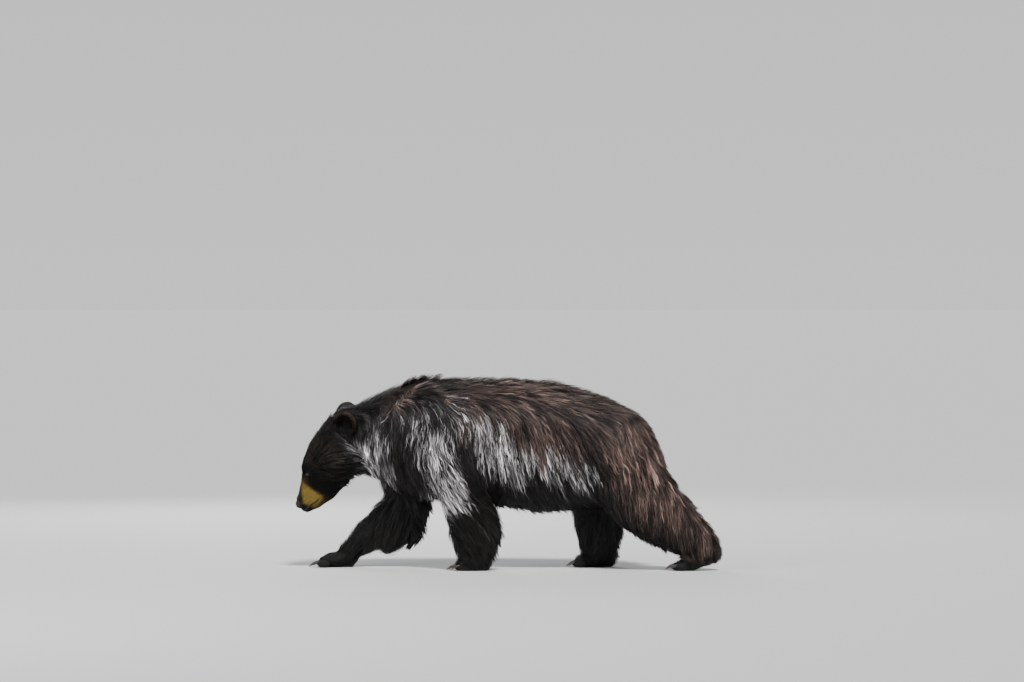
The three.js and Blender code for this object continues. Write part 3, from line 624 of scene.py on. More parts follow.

# Where painted sheen shows on the hair, on both sides, standing in for light that glints off the coat: a line
# in
# XZ, half width, and strength, from 0 to 1.
PAINTED_SHEEN_BANDS = [
    (((-685, 525), (-600, 500), (-515, 474)), 62, 1.0),  # the ruff
    (((-640, 545), (-500, 615)), 64, 0.66),
    (((-400, 690), (-345, 580)), 96, 0.56),  # the shoulder
    (((-322, 556), (-305, 456), (-250, 318)), 92, 0.88),  # the upper arm
    (((-275, 720), (-228, 540)), 56, 0.6),  # behind the shoulder
    (((-130, 620), (-50, 530), (20, 468)), 84, 0.8),  # the flank
    (((0, 540), (240, 486)), 70, 0.79),
    (((160, 470), (330, 428)), 54, 0.8),
]
BROWN_BANDS = [
    (((-500, 720), (-430, 750)), 60, 0.4),
    (((-150, 740), (560, 640)), 130, 0.62),  # the back
    (((80, 640), (250, 540)), 70, 0.6),
    (((520, 590), (600, 430)), 160, 1.0),  # the rump
    (((620, 400), (820, 180)), 120, 0.78),  # the hind leg
]
# Where the coat lies in shade between neck, arm and trunk: a line in XZ, half width, and strength.
SHADE_BANDS = [
    (((-738, 560), (-714, 470), (-684, 400)), 20, 0.9),
    (((-484, 640), (-474, 550), (-462, 430), (-425, 340), (-385, 300)), 38, 0.9),
    (((-205, 580), (-190, 470), (-155, 360), (-125, 265)), 36, 0.85),
    (((380, 470), (400, 400), (470, 300)), 34, 0.6),
    (((-100, 340), (150, 330), (360, 310)), 84, 0.95),
    (((-655, 620), (-690, 540), (-660, 440)), 36, 0.7),
]
SLEEVE = ((-290, 245), (-140, 285))  # the lower edge of the long hair on the near upper arm, which carries painted sheen, in XZ
# The parting of the hair over the shoulder, as points of XZ, where pale hair roots show.
PARTING = [(-503, 692), (-450, 745), (-395, 798), (-362, 806), (-332, 778), (-275, 727)]
# Where the head's black ends: u on the side of the head, and how fast it grows below a level v.
FACE_EDGE = (12, 0.77, -25)
# The tan patch of the muzzle, as corners of u and v in the head's frame.
TAN_PATCH = [(238, 40), (258, 40), (314, 0), (310, -52), (262, -60), (246, -52)]
PARTING_HALF = 9  # half the width of the parting
HEAD_COLOURS_X = -600  # the head's colours lie ahead of this
HEAD_COLOURS_V = 160  # and within this of its middle
# Where the colours of the face begin and end, in u or v: the cheek, the brown bridge and the brown chin.
CHEEK_FROM, CHEEK_TO, CHEEK_UP = (0, 60), (180, 120), (-80, -10)
BRIDGE_FROM, BRIDGE_UP = (190, 240), (10, 50)
CHIN_FROM, CHIN_DOWN = (225, 265), (-30, -60)
# The black of the legs: the heights that it fades over, and where it fades at the near arm's sleeve instead:
# over how far past the sleeve's edge, between which X, and up to which height.
LEG_BLACK = (150, 300)
SLEEVE_FADE = (15, 45)
SLEEVE_X, SLEEVE_TOP = (-330, -100), 420


def band_share(points, bands):
    share = np.zeros(len(points))
    for line, half, strength in bands:
        away = line_distance(points[:, [0, 2]], line) / half
        share = np.maximum(share, strength * (1 - smoothstep(0.2, 1.45, away)))
    return share


def parting_share(points):
    return bell(line_distance(points[:, [0, 2]], PARTING) / PARTING_HALF)


def line_side(points, line):
    """Distance from a line that rises or falls in XZ, and 1 for points before it along X, else 0."""
    rows = np.array(sorted(line, key=lambda p: p[1]), float)
    at = np.interp(points[:, 1], rows[:, 1], rows[:, 0])
    return line_distance(points, line), (points[:, 0] < at).astype(float)


def line_distance(points, line):
    """Distance from points of a plane to a line of points."""
    best = np.full(len(points), ENDLESS)
    line = np.array(line, float)
    for a, b in zip(line, line[1:]):
        along = b - a
        t = np.clip((points - a) @ along / dot(along, along), 0, 1)
        best = np.minimum(best, np.linalg.norm(points - a - t[:, None] * along, axis=1))
    return best


def inside_polygon(points, corners):
    """How deep points of a plane lie inside a convex polygon whose corners run clockwise."""
    rows = np.array(corners, float)
    depth = np.full(len(points), ENDLESS)
    for a, b in zip(rows, np.roll(rows, -1, axis=0)):
        along = unit(b - a)
        depth = np.minimum(depth, (points - a) @ np.array([along[1], -along[0]]))
    return depth


def markings_and_painted_light(points, streak, ragged):
    """The coat's colour at points, with painted sheen and painted shade laid into it. streak runs from 0 to 1
    and decides which locks get the painted sheen or the brown, and ragged is how far the edges of the bands
    are moved there."""
    colour = np.tile(COAL, (len(points), 1))
    moved = points + np.stack([0.3 * ragged, np.zeros_like(ragged), ragged], -1)
    lively = smoothstep(0.1, 0.9, streak)

    def lay(tint, share):
        nonlocal colour
        colour = mix(colour, tint, np.clip(share, 0, 1)[:, None])

    x, y, z = points.T
    brown = band_share(moved, BROWN_BANDS)
    near_arm = (x > SLEEVE_X[0]) & (x < SLEEVE_X[1]) & (z < SLEEVE_TOP) & (y < 0)
    edge = z - np.interp(x, *zip(*SLEEVE))
    low = mix(1 - smoothstep(*LEG_BLACK, z), 1 - smoothstep(*SLEEVE_FADE, edge), near_arm)
    lay(BROWN, brown * (0.2 + 0.8 * lively))
    # The legs' black, which also stands in for the shade low under the body.
    lay(BLACK_AND_SHADE, low * (1 - brown) * 0.95)
    # Painted sheen: pale grey laid on the locks where light glints off the coat.
    painted_sheen = band_share(moved, PAINTED_SHEEN_BANDS)
    lay(PAINTED_SHEEN, (1 - low) * smoothstep(0, 0.3, 0.76 * painted_sheen - streak))
    # Painted shade between neck, arm and trunk, under the belly and at the nape.
    lay(BLACK_AND_SHADE, band_share(points, SHADE_BANDS))

    q = to_head(points)
    u, v = q[:, 0], q[:, 2]
    start, growth, level = FACE_EDGE
    ahead = u - (start + growth * np.maximum(0, level - v))
    on_head = smoothstep(-30, 20, ahead) * (x < HEAD_COLOURS_X) * (np.abs(v) < HEAD_COLOURS_V)
    lay(FACE * 0.45, on_head)
    cheek = smoothstep(*CHEEK_FROM, u) * smoothstep(*CHEEK_TO, u) * smoothstep(*CHEEK_UP, v)
    # The cheek's brown hair with a painted sheen.
    lay(CHEEK_SHEEN, on_head * cheek * (0.3 + 0.2 * lively))
    lay(MUZZLE_BROWN, on_head * smoothstep(*BRIDGE_FROM, u) * smoothstep(*BRIDGE_UP, v))
    lay(MUZZLE_BROWN * 0.7, on_head * smoothstep(*CHIN_FROM, u) * smoothstep(*CHIN_DOWN, v))
    depth = inside_polygon(q[:, [0, 2]], TAN_PATCH)
    lay(MUZZLE_TAN, on_head * smoothstep(-9, 9, depth + 6 * (streak - 0.5)))
    return colour


# ---------------------------------------------------------------- materials
def new_material(name):
    material = bpy.data.materials.new(name)
    material.use_nodes = True
    return material, material.node_tree


def feed(tree, node, inputs):
    """Sets inputs of a node. Each is a value, or the output of another node."""
    for key, value in inputs.items():
        if isinstance(value, bpy.types.NodeSocket):
            tree.links.new(value, node.inputs[key])
        else:
            node.inputs[key].default_value = value


def add_node(tree, kind, inputs, **settings):
    node = tree.nodes.new(kind)
    for key, value in settings.items():
        setattr(node, key, value)
    feed(tree, node, inputs)
    return node


def set_shader(tree, inputs):
    feed(tree, tree.nodes["Principled BSDF"], inputs)


def read_points(tree, name, output):
    """The values that a mesh holds at its points under a name."""
    return add_node(tree, "ShaderNodeAttribute", {}, attribute_name=name).outputs[output]


def object_place(tree):
    return add_node(tree, "ShaderNodeTexCoord", {}).outputs["Object"]


def noise_at(tree, place, scale, detail, roughness=0.5):
    inputs = {"Vector": place, "Scale": scale, "Detail": detail, "Roughness": roughness}
    return add_node(tree, "ShaderNodeTexNoise", inputs).outputs["Fac"]


def ranged(tree, value, low, high, start=0.0, end=1.0):
    """A value between start and end, brought to between low and high."""
    inputs = {"Value": value, "From Min": start, "From Max": end, "To Min": low, "To Max": high}
    return add_node(tree, "ShaderNodeMapRange", inputs).outputs["Result"]


def shaded(tree, colour, shade):
    inputs = {0: colour, "Scale": shade}
    return add_node(tree, "ShaderNodeVectorMath", inputs, operation="SCALE").outputs["Vector"]


def bumped(tree, height, strength, distance):
    inputs = {"Height": height, "Strength": strength, "Distance": distance}
    return add_node(tree, "ShaderNodeBump", inputs).outputs["Normal"]


def ramped(tree, source, stops):
    """A colour that runs through the stops: positions and colours."""
    ramp = add_node(tree, "ShaderNodeValToRGB", {"Fac": source})
    elements = ramp.color_ramp.elements
    while len(elements) < len(stops):
        elements.new(0.5)
    for element, (position, colour) in zip(elements, stops):
        element.position = position
        element.color = (*colour, 1)
    return ramp.outputs["Color"]


MIDDLE = (0.3, 0.7)  # nearly all of a noise lies between these
STRAND_STRETCH = (5.0, 0.9, 1.0)  # across a tuft, along it, and from tuft to tuft


def hair_material(name, roughness, gloss):
    """Hair: the tuft's colour, painted sheen and shade included, fine strands along it, and a soft gloss."""
    material, tree = new_material(name)
    inputs = {0: read_points(tree, "strand", "Vector"), 1: STRAND_STRETCH}
    stretched = add_node(tree, "ShaderNodeVectorMath", inputs, operation="MULTIPLY")
    strands = noise_at(tree, stretched.outputs["Vector"], 1.6, 3.0, 0.6)
    shade = ranged(tree, strands, 0.45, 1.6, *MIDDLE)
    inputs = {
        "Base Color": shaded(tree, read_points(tree, "hair", "Color"), shade),
        "Roughness": ranged(tree, strands, roughness + 0.1, roughness - 0.08),
        "Specular IOR Level": gloss,
    }
    set_shader(tree, inputs)
    return material


def skin_material():
    """Skin with the short underfur pressed to it: the coat's colour, painted sheen and shade included, dark
    between the hairs.
    """
    material, tree = new_material("under_coat")
    hairs = noise_at(tree, object_place(tree), 420.0, 4.0, 0.65)
    shade = ranged(tree, hairs, 0.4, 1.1, *MIDDLE)
    inputs = {
        "Base Color": shaded(tree, read_points(tree, "hair", "Color"), shade),
        "Roughness": 0.8,
        "Specular IOR Level": 0.25,
        "Normal": bumped(tree, hairs, 0.5, 0.0012),
    }
    set_shader(tree, inputs)
    return material


def leather_material(name, colour, light, scale, roughness):
    """Bare skin of nose, lips and lids: fine cells with creases between them."""
    material, tree = new_material(name)
    place = object_place(tree)
    inputs = {"Vector": place, "Scale": scale}
    cells = add_node(tree, "ShaderNodeTexVoronoi", inputs, feature="DISTANCE_TO_EDGE")
    cloud = noise_at(tree, place, scale * 0.12, 3.0)
    inputs = {
        "Base Color": ramped(tree, cloud, [(0.3, colour), (0.75, light)]),
        "Roughness": ranged(tree, cloud, roughness - 0.1, roughness + 0.15),
        "Specular IOR Level": 0.3,
        "Normal": bumped(tree, cells.outputs["Distance"], 0.55, 0.0008),
    }
    set_shader(tree, inputs)
    return material


PUPIL = (0.002, 0.002, 0.002)
# The eye's colours, by the angle from its gaze as a share of half a turn: pupil, iris, its edge, the rest.
EYE_STOPS = [
    (0.0, PUPIL),
    (0.11, PUPIL),
    (0.125, (0.010, 0.0045, 0.002)),
    (0.2, (0.018, 0.008, 0.003)),
    (0.235, (0.004, 0.003, 0.002)),
    (0.4, (0.008, 0.006, 0.005)),
]


def eye_material():
    """A dark eye: pupil, brown iris with fine rays, and the dark edge, under a wet coat."""
    material, tree = new_material("eye")
    rays = noise_at(tree, read_points(tree, "around", "Vector"), 9.0, 2.0)
    colour = ramped(tree, read_points(tree, "polar", "Fac"), EYE_STOPS)
    inputs = {
        "Base Color": shaded(tree, colour, ranged(tree, rays, 0.5, 1.5, *MIDDLE)),
        "Roughness": 0.06,
        "Specular IOR Level": 0.25,
        "Coat Weight": 0.3,
        "Coat Roughness": 0.03,
    }
    set_shader(tree, inputs)
    return material


CLAW_STOPS = [(0.0, (0.012, 0.010, 0.009)), (0.6, (0.028, 0.022, 0.018)), (1.0, (0.11, 0.085, 0.06))]


def claw_material():
    """Horn: dark, with streaks along the claw and a paler, worn tip."""
    material, tree = new_material("claw")
    inputs = {"Vector": object_place(tree), "Scale": 160.0, "Distortion": 6.0, "Detail": 3.0}
    streaks = add_node(tree, "ShaderNodeTexWave", inputs).outputs["Fac"]
    colour = ramped(tree, read_points(tree, "along", "Fac"), CLAW_STOPS)
    inputs = {
        "Base Color": shaded(tree, colour, ranged(tree, streaks, 0.6, 1.35)),
        "Roughness": ranged(tree, streaks, 0.28, 0.45),
        "Normal": bumped(tree, streaks, 0.25, 0.0004),
    }
    set_shader(tree, inputs)
    return material


MATERIALS = {
    "hair": hair_material("coat", 0.42, 0.2),
    "face_hair": hair_material("face_coat", 0.55, 0.15),
    "skin": skin_material(),
    "nose": leather_material("nose_leather", (0.006, 0.0055, 0.0055), (0.019, 0.017, 0.017), 620.0, 0.5),
    "lip": leather_material("lip_skin", (0.007, 0.006, 0.006), (0.020, 0.016, 0.015), 500.0, 0.45),
    "lid": leather_material("lid_skin", (0.004, 0.0035, 0.003), (0.010, 0.008, 0.007), 500.0, 0.65),
    "eye": eye_material(),
    "claw": claw_material(),
}


# ---------------------------------------------------------------- the skin
MUZZLE = from_head((240, 0, 0))
FACE_REACH = 125  # the skin is finest within this of the muzzle
PAW_REACH = 90  # and within this of a middle toe
HEAD_REGION_X = -610  # it is finer on the head, ahead of this
LONGEST_SLIDE = 4  # how far one round moves a point of the skin


def make_skin():
    """The skin's points and faces: nets over the field, refined at head and feet and drawn onto the field."""
    batches = np.array_split(BODY.points.reshape(-1, 3), 8)
    values = np.concatenate([skin_distance(rows) for rows in batches]).reshape(BODY.count)
    points, quads = nets(values, BODY.low, BODY.cell)
    points, quads = refined(points, quads.tolist(), lambda p: (p[:, 0] < HEAD_REGION_X) | near_toes(p))
    points, quads = refined(points, quads, lambda p: near_face(p) | near_toes(p))
    for _ in range(4):
        slope = slope_of(skin_distance, points)
        step = skin_distance(points) / np.maximum(dot(slope, slope), 0.2)
        points = points - np.clip(step, -LONGEST_SLIDE, LONGEST_SLIDE)[:, None] * slope
    points[:, 2] = np.maximum(points[:, 2], SOLE_LEVEL)
    return points, quads


def near_face(points):
    return np.linalg.norm(points - MUZZLE, axis=1) < FACE_REACH


def near_toes(points):
    return np.min([from_paw(points, paw) for paw in PAWS.values()], axis=0) < PAW_REACH


def refined(points, faces, chosen):
    """Cuts the chosen faces in four, and their neighbours so that no crack opens. Faces that aren't left with
    four corners come back as triangles."""
    mesh = bpy.data.meshes.new("refining")
    mesh.from_pydata(points.tolist(), [], faces)
    bm = bmesh.new()
    bm.from_mesh(mesh)
    bpy.data.meshes.remove(mesh)
    keep = chosen(points)
    edges = [e for e in bm.edges if keep[e.verts[0].index] and keep[e.verts[1].index]]
    bmesh.ops.subdivide_edges(bm, edges=edges, cuts=1, use_grid_fill=True)
    bmesh.ops.triangulate(bm, faces=[f for f in bm.faces if len(f.verts) != 4])
    bm.verts.index_update()
    made = np.array([v.co for v in bm.verts])
    rows = [[v.index for v in f.verts] for f in bm.faces]
    bm.free()
    return made, rows


def triangles_of(faces):
    """The triangles of faces with three or four corners."""
    fours = np.array([f for f in faces if len(f) == 4])
    threes = np.array([f for f in faces if len(f) == 3]).reshape(-1, 3)
    return np.concatenate([fours[:, :3], fours[:, [0, 2, 3]], threes])


# ---------------------------------------------------------------- the lie of the coat
# How steeply the coat runs down along the trunk: position from head to tail, and degrees below level.
LIE = [
    (-640, 80), (-560, 86), (-470, 90), (-380, 93), (-230, 90),
    (-60, 82), (150, 74), (330, 64), (480, 56), (640, 58),
]
LIE_ON_TOP = 16  # and along the back's top
# Tufts that stand up along the back: place in XZ, reach, and how far their tips rise.
CRESTS = [
    ((-372, 800), 60, 12),
    ((-330, 812), 40, 9),
    ((-180, 812), 24, 9),
    ((-52, 812), 24, 9),
    ((60, 800), 140, 7),
]
TO_TAIL = np.array([1.0, 0, 0])
LEG_STARTS = (-45, 35)  # over these distances out of the trunk the coat turns down along a leg
PARTING_REACH = 70  # how far from the parting the lie turns


def leg_at(points):
    """How fully a point belongs to a leg, and which way that leg runs down there."""
    trunk = chain(points, SPINE, SOFT["spine"])[0]
    share = np.zeros(len(points))
    down = np.tile(-UP, (len(points), 1))
    for leg in LEGS.values():
        stations = leg["column"]
        near = close_to(points, stations) & (np.sign(points[:, 1]) == np.sign(stations[2][1]))
        for a, b in zip(stations, stations[1:]):
            found = np.zeros(len(points))
            found[near] = smoothstep(*LEG_STARTS, trunk[near] - segment(points[near], a, b)[0])
            better = found > share
            share[better] = found[better]
            down[better] = unit(np.array(b[:3], float) - np.array(a[:3], float))
    return share, down


def lie_at(points, normals):
    """The way the hair lies, along the surface."""
    fall = np.interp(points[:, 0], *zip(*LIE))
    fall = np.radians(mix(fall, LIE_ON_TOP, smoothstep(0.2, 0.9, normals[:, 2])))
    way = np.stack([np.cos(fall), np.zeros(len(fall)), -np.sin(fall)], 1)
    way = way + parted(points)[:, None] * TO_TAIL
    share, down = leg_at(points)
    back = share * smoothstep(0.1, 0.9, normals[:, 0]) * smoothstep(60, 160, points[:, 2])
    down = unit(down + 0.45 * back[:, None] * TO_TAIL)
    way = mix(way, down, share[:, None])
    u, _, v = to_head(points).T
    ahead = smoothstep(-90, 60, u) * smoothstep(-590, -680, points[:, 0])
    cheek = 0.15 + 0.85 * smoothstep(60, -30, v) * smoothstep(260, 130, u)
    way = mix(way, -HEAD_AXES[0] - cheek[:, None] * 1.3 * HEAD_AXES[2], ahead[:, None])
    return along_surface(way, normals)


def parted(points):
    """How far the lie turns forward, or back, on either side of the parting over the shoulder."""
    away, ahead = line_side(points[:, [0, 2]], PARTING[:4])
    turn = -0.9 * bell(away / PARTING_REACH) * ahead
    away, ahead = line_side(points[:, [0, 2]], PARTING[3:])
    return turn + 0.7 * bell(away / PARTING_REACH) * (1 - ahead)


def along_surface(way, normals):
    return unit(way - dot(way, normals)[:, None] * normals)


def crest_rise(points):
    """How far the crests lift the tips of tufts that root at points."""
    rise = np.zeros(len(points))
    for (x, z), reach, height in CRESTS:
        away = np.hypot(points[:, 0] - x, points[:, 2] - z)
        rise = np.maximum(rise, height * bell(away / reach))
    return rise


# ---------------------------------------------------------------- tufts
# Rows of tufts: spines of points from root to tip, a side and an outward direction at each ring, widths,
# colours, and places on the bake's map.
Tufts = namedtuple("Tufts", "spines sides outs widths colours places")

FLOOR_GAP = 0.8  # no tuft comes nearer to the floor
TALLEST = 842.0  # and none rises over this
WAVE_LENGTH = 7.5  # millimetres along a strand for each radian of its waves
PATCH = 0.003  # a tuft's patch on the bake's map
MAP_EDGE = 0.01  # the empty edge of that map
ROUNDING = 0.75  # how far the normals of a tuft's edges lean out, so that a flat strip is lit as a round lock
TUFT_SEED = 7.31  # sets the noise of one tuft apart from the next


def on_rings(colour):
    """Colours along spines, for both points of each ring and for the tip."""
    return np.concatenate([np.repeat(colour[:, :-1], 2, axis=1), colour[:, -1:]], 1)


def tuft_piece(name, tufts, material):
    """A mesh of tufts. Each is a tapered strip of rings with two points, and a tip."""
    count, rings = tufts.widths.shape
    each, strips = 2 * rings + 1, rings - 1
    half = tufts.sides * tufts.widths[..., None] * 0.5
    middle = tufts.spines[:, :rings]
    edges = np.stack([middle - half, middle + half], 2).reshape(count, -1, 3)
    points = np.concatenate([edges, tufts.spines[:, rings:]], 1)
    leaning = np.stack([tufts.outs - ROUNDING * tufts.sides, tufts.outs + ROUNDING * tufts.sides], 2)
    normals = unit(np.concatenate([leaning.reshape(count, -1, 3), tufts.outs[:, -1:]], 1))
    quads = [[2 * r + 1, 2 * r, 2 * r + 2, 2 * r + 3] for r in range(strips)]
    tip = [2 * strips + 1, 2 * strips, each - 1]
    corner = (np.arange(count)[:, None] * each + np.array(sum(quads, []) + tip)).ravel()
    totals = np.tile([4] * strips + [3], count)
    starts = np.concatenate([[0], np.cumsum(totals)[:-1]])
    mesh = new_mesh(name, ((points + OFFSET) * MM).reshape(-1, 3), corner, starts)
    mesh.materials.append(material)
    mesh.normals_split_custom_set_from_vertices(normals.reshape(-1, 3))
    piece = place_object(name, mesh)

    along = np.append(np.repeat(np.linspace(0, 1, rings + 1)[:-1], 2), 1.0)
    across = np.append(np.tile([0.0, 1.0], rings), 0.5)
    uv = tufts.places[:, None] + PATCH * np.stack([across - 0.5, along - 0.5], 1)
    mesh.uv_layers.new(name="OFBake").data.foreach_set("uv", uv.reshape(-1, 2)[corner].ravel())
    colour_points(piece, "hair", tufts.colours.reshape(-1, 3))
    own = np.arange(count)[:, None] * TUFT_SEED
    strand = np.stack([own + across, own * 0.37 + along * 2, np.broadcast_to(own * 0.11, (count, each))], 2)
    vector_points(piece, "strand", strand)
    return piece


def spread_roots(points, triangles, weights, count, rng):
    """Roots spread over triangles by area and weight."""
    a, b, c = (points[triangles[:, i]] for i in range(3))
    area = np.linalg.norm(np.cross(b - a, c - a), axis=1) * weights[triangles].mean(axis=1)
    total = np.cumsum(area)
    picks = np.searchsorted(total, (np.arange(count) + rng.random(count)) / count * total[-1])
    picks = np.minimum(picks, len(triangles) - 1)
    s, t = rng.random((2, count))
    over = s + t > 1
    s[over], t[over] = 1 - s[over], 1 - t[over]
    return a[picks] + (b - a)[picks] * s[:, None] + (c - a)[picks] * t[:, None]


def nearest(points, leaders):
    """The number of the nearest leader to each point."""
    tree = KDTree(len(leaders))
    for i, p in enumerate(leaders):
        tree.insert(p, i)
    tree.balance()
    return np.array([tree.find(p)[1] for p in points])


def comb(roots, lie, length, reach, stations):
    """Spines from the roots along the coat that rise to its tips. reach is how close their own tips come."""
    points, normals = roots, unit(form_at(roots)[1])
    depth = skin_depth(form_at(roots)[2])
    spine, outs = [], []
    way, walked = lie, 0.0
    for t in stations:
        way = along_surface(way, normals)
        points = points + way * (length * (t - walked))[:, None]
        walked = t
        level = depth * (1 - reach * t**0.7) + (2.5 if t == 0 else 0)
        points, normals = settle(points, level, 2 if t else 1)
        spine.append(points)
        outs.append(normals)
    return np.stack(spine, 1), np.stack(outs, 1)


COAT_LENGTH = 1.8  # a tuft's length as a multiple of the coat's depth
ROLL = 0.4  # how far a tuft turns about its own line, in radians
LINE_STEPS = 9  # samples along the line of a strand
LOCK_PULL = 13  # a tuft leans over to its lock by this much at most
WAVY_COAT = (24, 42)  # over these depths of coat its waves set in


class Strands:
    """Lines down the lie of the coat. The tufts near one gather into it, and share its waves and colour."""

    def __init__(self, skin, spacing, length, rng):
        self.spacing = spacing
        self.step = length / (LINE_STEPS - 1)
        points, triangles = skin
        a, b, c = (points[triangles[:, i]] for i in range(3))
        area = np.linalg.norm(np.cross(b - a, c - a), axis=1).sum() / 2
        count = int(area / (spacing * length))
        place = spread_roots(points, triangles, np.ones(len(points)), count, rng)
        rows = []
        for _ in range(LINE_STEPS):
            normals = unit(form_at(place)[1])
            place = settle(place, skin_depth(form_at(place)[2]), 1)[0]
            rows.append(place)
            place = place + lie_at(place, normals) * self.step
        self.samples = np.stack(rows, 1).reshape(-1, 3)
        self.phase = rng.random(count) * 2 * math.pi
        self.height = rng.uniform(-1, 1, count)
        self.streak = rng.random(count)
        self.bright = rng.normal(0, 1, count)

    def join(self, roots, lie, normals):
        """For each root its line, the way to it, how far along it, and how far out it is, from 0 to 1."""
        hit = nearest(roots, self.samples)
        off = self.samples[hit] - roots
        along = (hit % LINE_STEPS) * self.step - dot(off, lie)
        over = off - dot(off, lie)[:, None] * lie - dot(off, normals)[:, None] * normals
        edge = np.clip(np.linalg.norm(over, axis=1) / (0.6 * self.spacing), 0, 1)
        return hit // LINE_STEPS, over, along, edge


def shades_along(style):
    """How bright a tuft is at each station along it: darker at the root, as painted shade deep in the coat,
    and paler at the tip.
    """
    return np.interp(style["stations"], *zip(*style["shades"]))[None, :, None]


def tuft_widths(style, coat, rng):
    width = (style["thin"] + style["thick"] * coat) * rng.uniform(0.7, 1.3, len(coat))
    return width[:, None] * np.array(style["profile"])


def grow(roots, rng, style, strands, locks):
    """Tufts from roots on the skin: combed, gathered into strands and locks, waved and coloured."""
    count = len(roots)
    _, slope, coat = form_at(roots)
    normals = unit(slope)
    lie = lie_at(roots, normals)
    strand, over, along, edge = strands.join(roots, lie, normals)
    lock, wider, _, rim = locks.join(roots, lie, normals)
    lie = unit(lie + np.cross(normals, lie) * rng.normal(0, style["stray"], count)[:, None])
    stations = np.array(style["stations"])

    length = COAT_LENGTH * coat * rng.uniform(0.8, 1.15, count) * (1 - 0.012 * crest_rise(roots))
    reach = 0.98 + 0.13 * strands.height[strand] + 0.07 * locks.height[lock] - 0.26 * edge - 0.08 * rim
    spine, outs = comb(roots, lie, length, reach + rng.uniform(-0.05, 0.05, count), stations)
    ease = 0.25 + 0.75 * stations
    spine = spine + (over * style["pull"])[:, None] * ease[None, :, None]
    crest, free = crest_rise(roots), hang(roots, normals, coat)
    shag = style["lift"] * np.clip(crest / 16 + free / 40 - 0.15, 0, 1)
    gather = mix(0.35 * style["pull"], 0.7, shag)
    wider = wider * np.minimum(1, LOCK_PULL / np.maximum(np.linalg.norm(wider, axis=1), 1e-6))[:, None]
    spine = spine + (wider * gather[:, None])[:, None] * (stations**1.5)[None, :, None]
    sides = unit(np.cross(outs, np.gradient(spine, axis=1)))
    phase = (along[:, None] + length[:, None] * stations) / WAVE_LENGTH + strands.phase[strand][:, None]
    swing = np.sin(phase)
    swing = swing * ease * style["wave"] * smoothstep(*WAVY_COAT, coat)[:, None]
    spine = spine + sides * swing[..., None]
    loose = np.clip(0.35 * strands.height[strand] + 0.75 * locks.height[lock] + 0.15, 0, 1)
    loose = loose * rng.uniform(0.7, 1, count)
    rise = style["lift"] * (crest * (0.2 + loose) + free * loose)
    spine = spine + (normals * rise[:, None])[:, None] * (stations**1.2)[None, :, None]
    spine[..., 2] = np.clip(spine[..., 2], FLOOR_GAP, TALLEST)

    rings = len(stations) - 1
    roll = rng.normal(0, ROLL, count)[:, None, None]
    turned = sides * np.cos(roll) + outs * np.sin(roll)
    outs = outs * np.cos(roll) - sides * np.sin(roll)
    streak = 0.3 * strands.streak[strand] + 0.7 * rng.random(count)
    uneven = style["contrast"] * smoothstep(12, 36, coat) * strands.bright[strand]
    bright = np.exp(uneven + 0.2 * locks.bright[lock] * smoothstep(12, 30, coat) + rng.normal(0, 0.2, count))
    ragged = 34 * locks.height[lock] + 24 * strands.height[strand]
    # Painted shade: tufts at a strand's edge are darker, in the gaps between strands, and those at its middle
    # lighter.
    colour = markings_and_painted_light(roots, streak, ragged) * (bright * (1.3 - style["gap"] * edge))[:, None]
    # Darker at the root as painted shade deep in the coat, paler at the tip.
    colour = colour[:, None] * shades_along(style)
    pale = parting_share(roots)[:, None] * np.clip(1 - 1.6 * stations, 0, 1)
    colour = on_rings(mix(colour, PARTING_TAN, pale[..., None]))
    widths = tuft_widths(style, coat, rng)
    return Tufts(spine, turned[:, :rings], outs[:, :rings], widths, colour, np.zeros((count, 2)))


# ---------------------------------------------------------------- regions of the coat, each one piece
def unwrap(points, line):
    """Places on a map: how far along a line of points, and the angle round it."""
    line = np.array(line, float)
    best = np.full(len(points), ENDLESS)
    place = np.zeros((len(points), 2))
    walked = 0.0
    for a, b in zip(line, line[1:]):
        along = b - a
        size = np.linalg.norm(along)
        t = np.clip((points - a) @ along / size**2, 0, 1)
        offset = points - a - t[:, None] * along
        away = np.linalg.norm(offset, axis=1)
        axis = along / size
        side = unit(LATERAL - dot(LATERAL, axis) * axis)
        up = np.cross(axis, side)
        angle = np.arctan2(offset @ side, offset @ up) / (2 * math.pi) + 0.5
        closer = away < best
        best[closer] = away[closer]
        place[closer] = np.stack([walked + t * size, angle], 1)[closer]
        walked += size
    low, high = place.min(axis=0), place.max(axis=0)
    return MAP_EDGE + (1 - 2 * MAP_EDGE) * (place - low) / np.maximum(high - low, 1e-6)


SPINE_LINE = [s[:3] for s in SPINE]
HEAD_LINE = [tuple(from_head((u, 0, v))) for u, _, v, *_ in SKULL]
TRUNK_ENDS = (-480, -85, 330)  # where neck, chest and barrel end, along X
TRUNK_PARTS = np.array(["neck", "chest", "barrel", "rump"])
LEG_TOP, LEG_SURE = 300, 190  # legs begin below these heights, but for the throat and anywhere
MID_X = 120  # between the fore and the hind legs


def region_of(points):
    """The name of the region that each point belongs to."""
    x, y, z = points.T
    side = np.where(y < 0, "left", "right")
    trunk = np.char.add(np.char.add(TRUNK_PARTS[np.searchsorted(TRUNK_ENDS, x, side="right")], "_"), side)
    leg = np.char.add(np.where(x < MID_X, "fore_", "hind_"), side)
    behind_throat = x > -650 + 2 * np.maximum(z - 200, 0)
    stretched_leg = (x > 520 + (z - 300)) & (y < 0) & (z < 480)
    on_leg = (z < LEG_TOP) & behind_throat | (z < LEG_SURE) | stretched_leg
    on_head = (x < -655 + 0.06 * (z - 500)) & ~on_leg
    return np.where(on_head, np.char.add("head_", side), np.where(on_leg, leg, trunk))


def line_for(region):
    if region.startswith("head"):
        return HEAD_LINE
    if region in LEGS:
        return [s[:3] for s in LEGS[region]["column"]]
    return SPINE_LINE


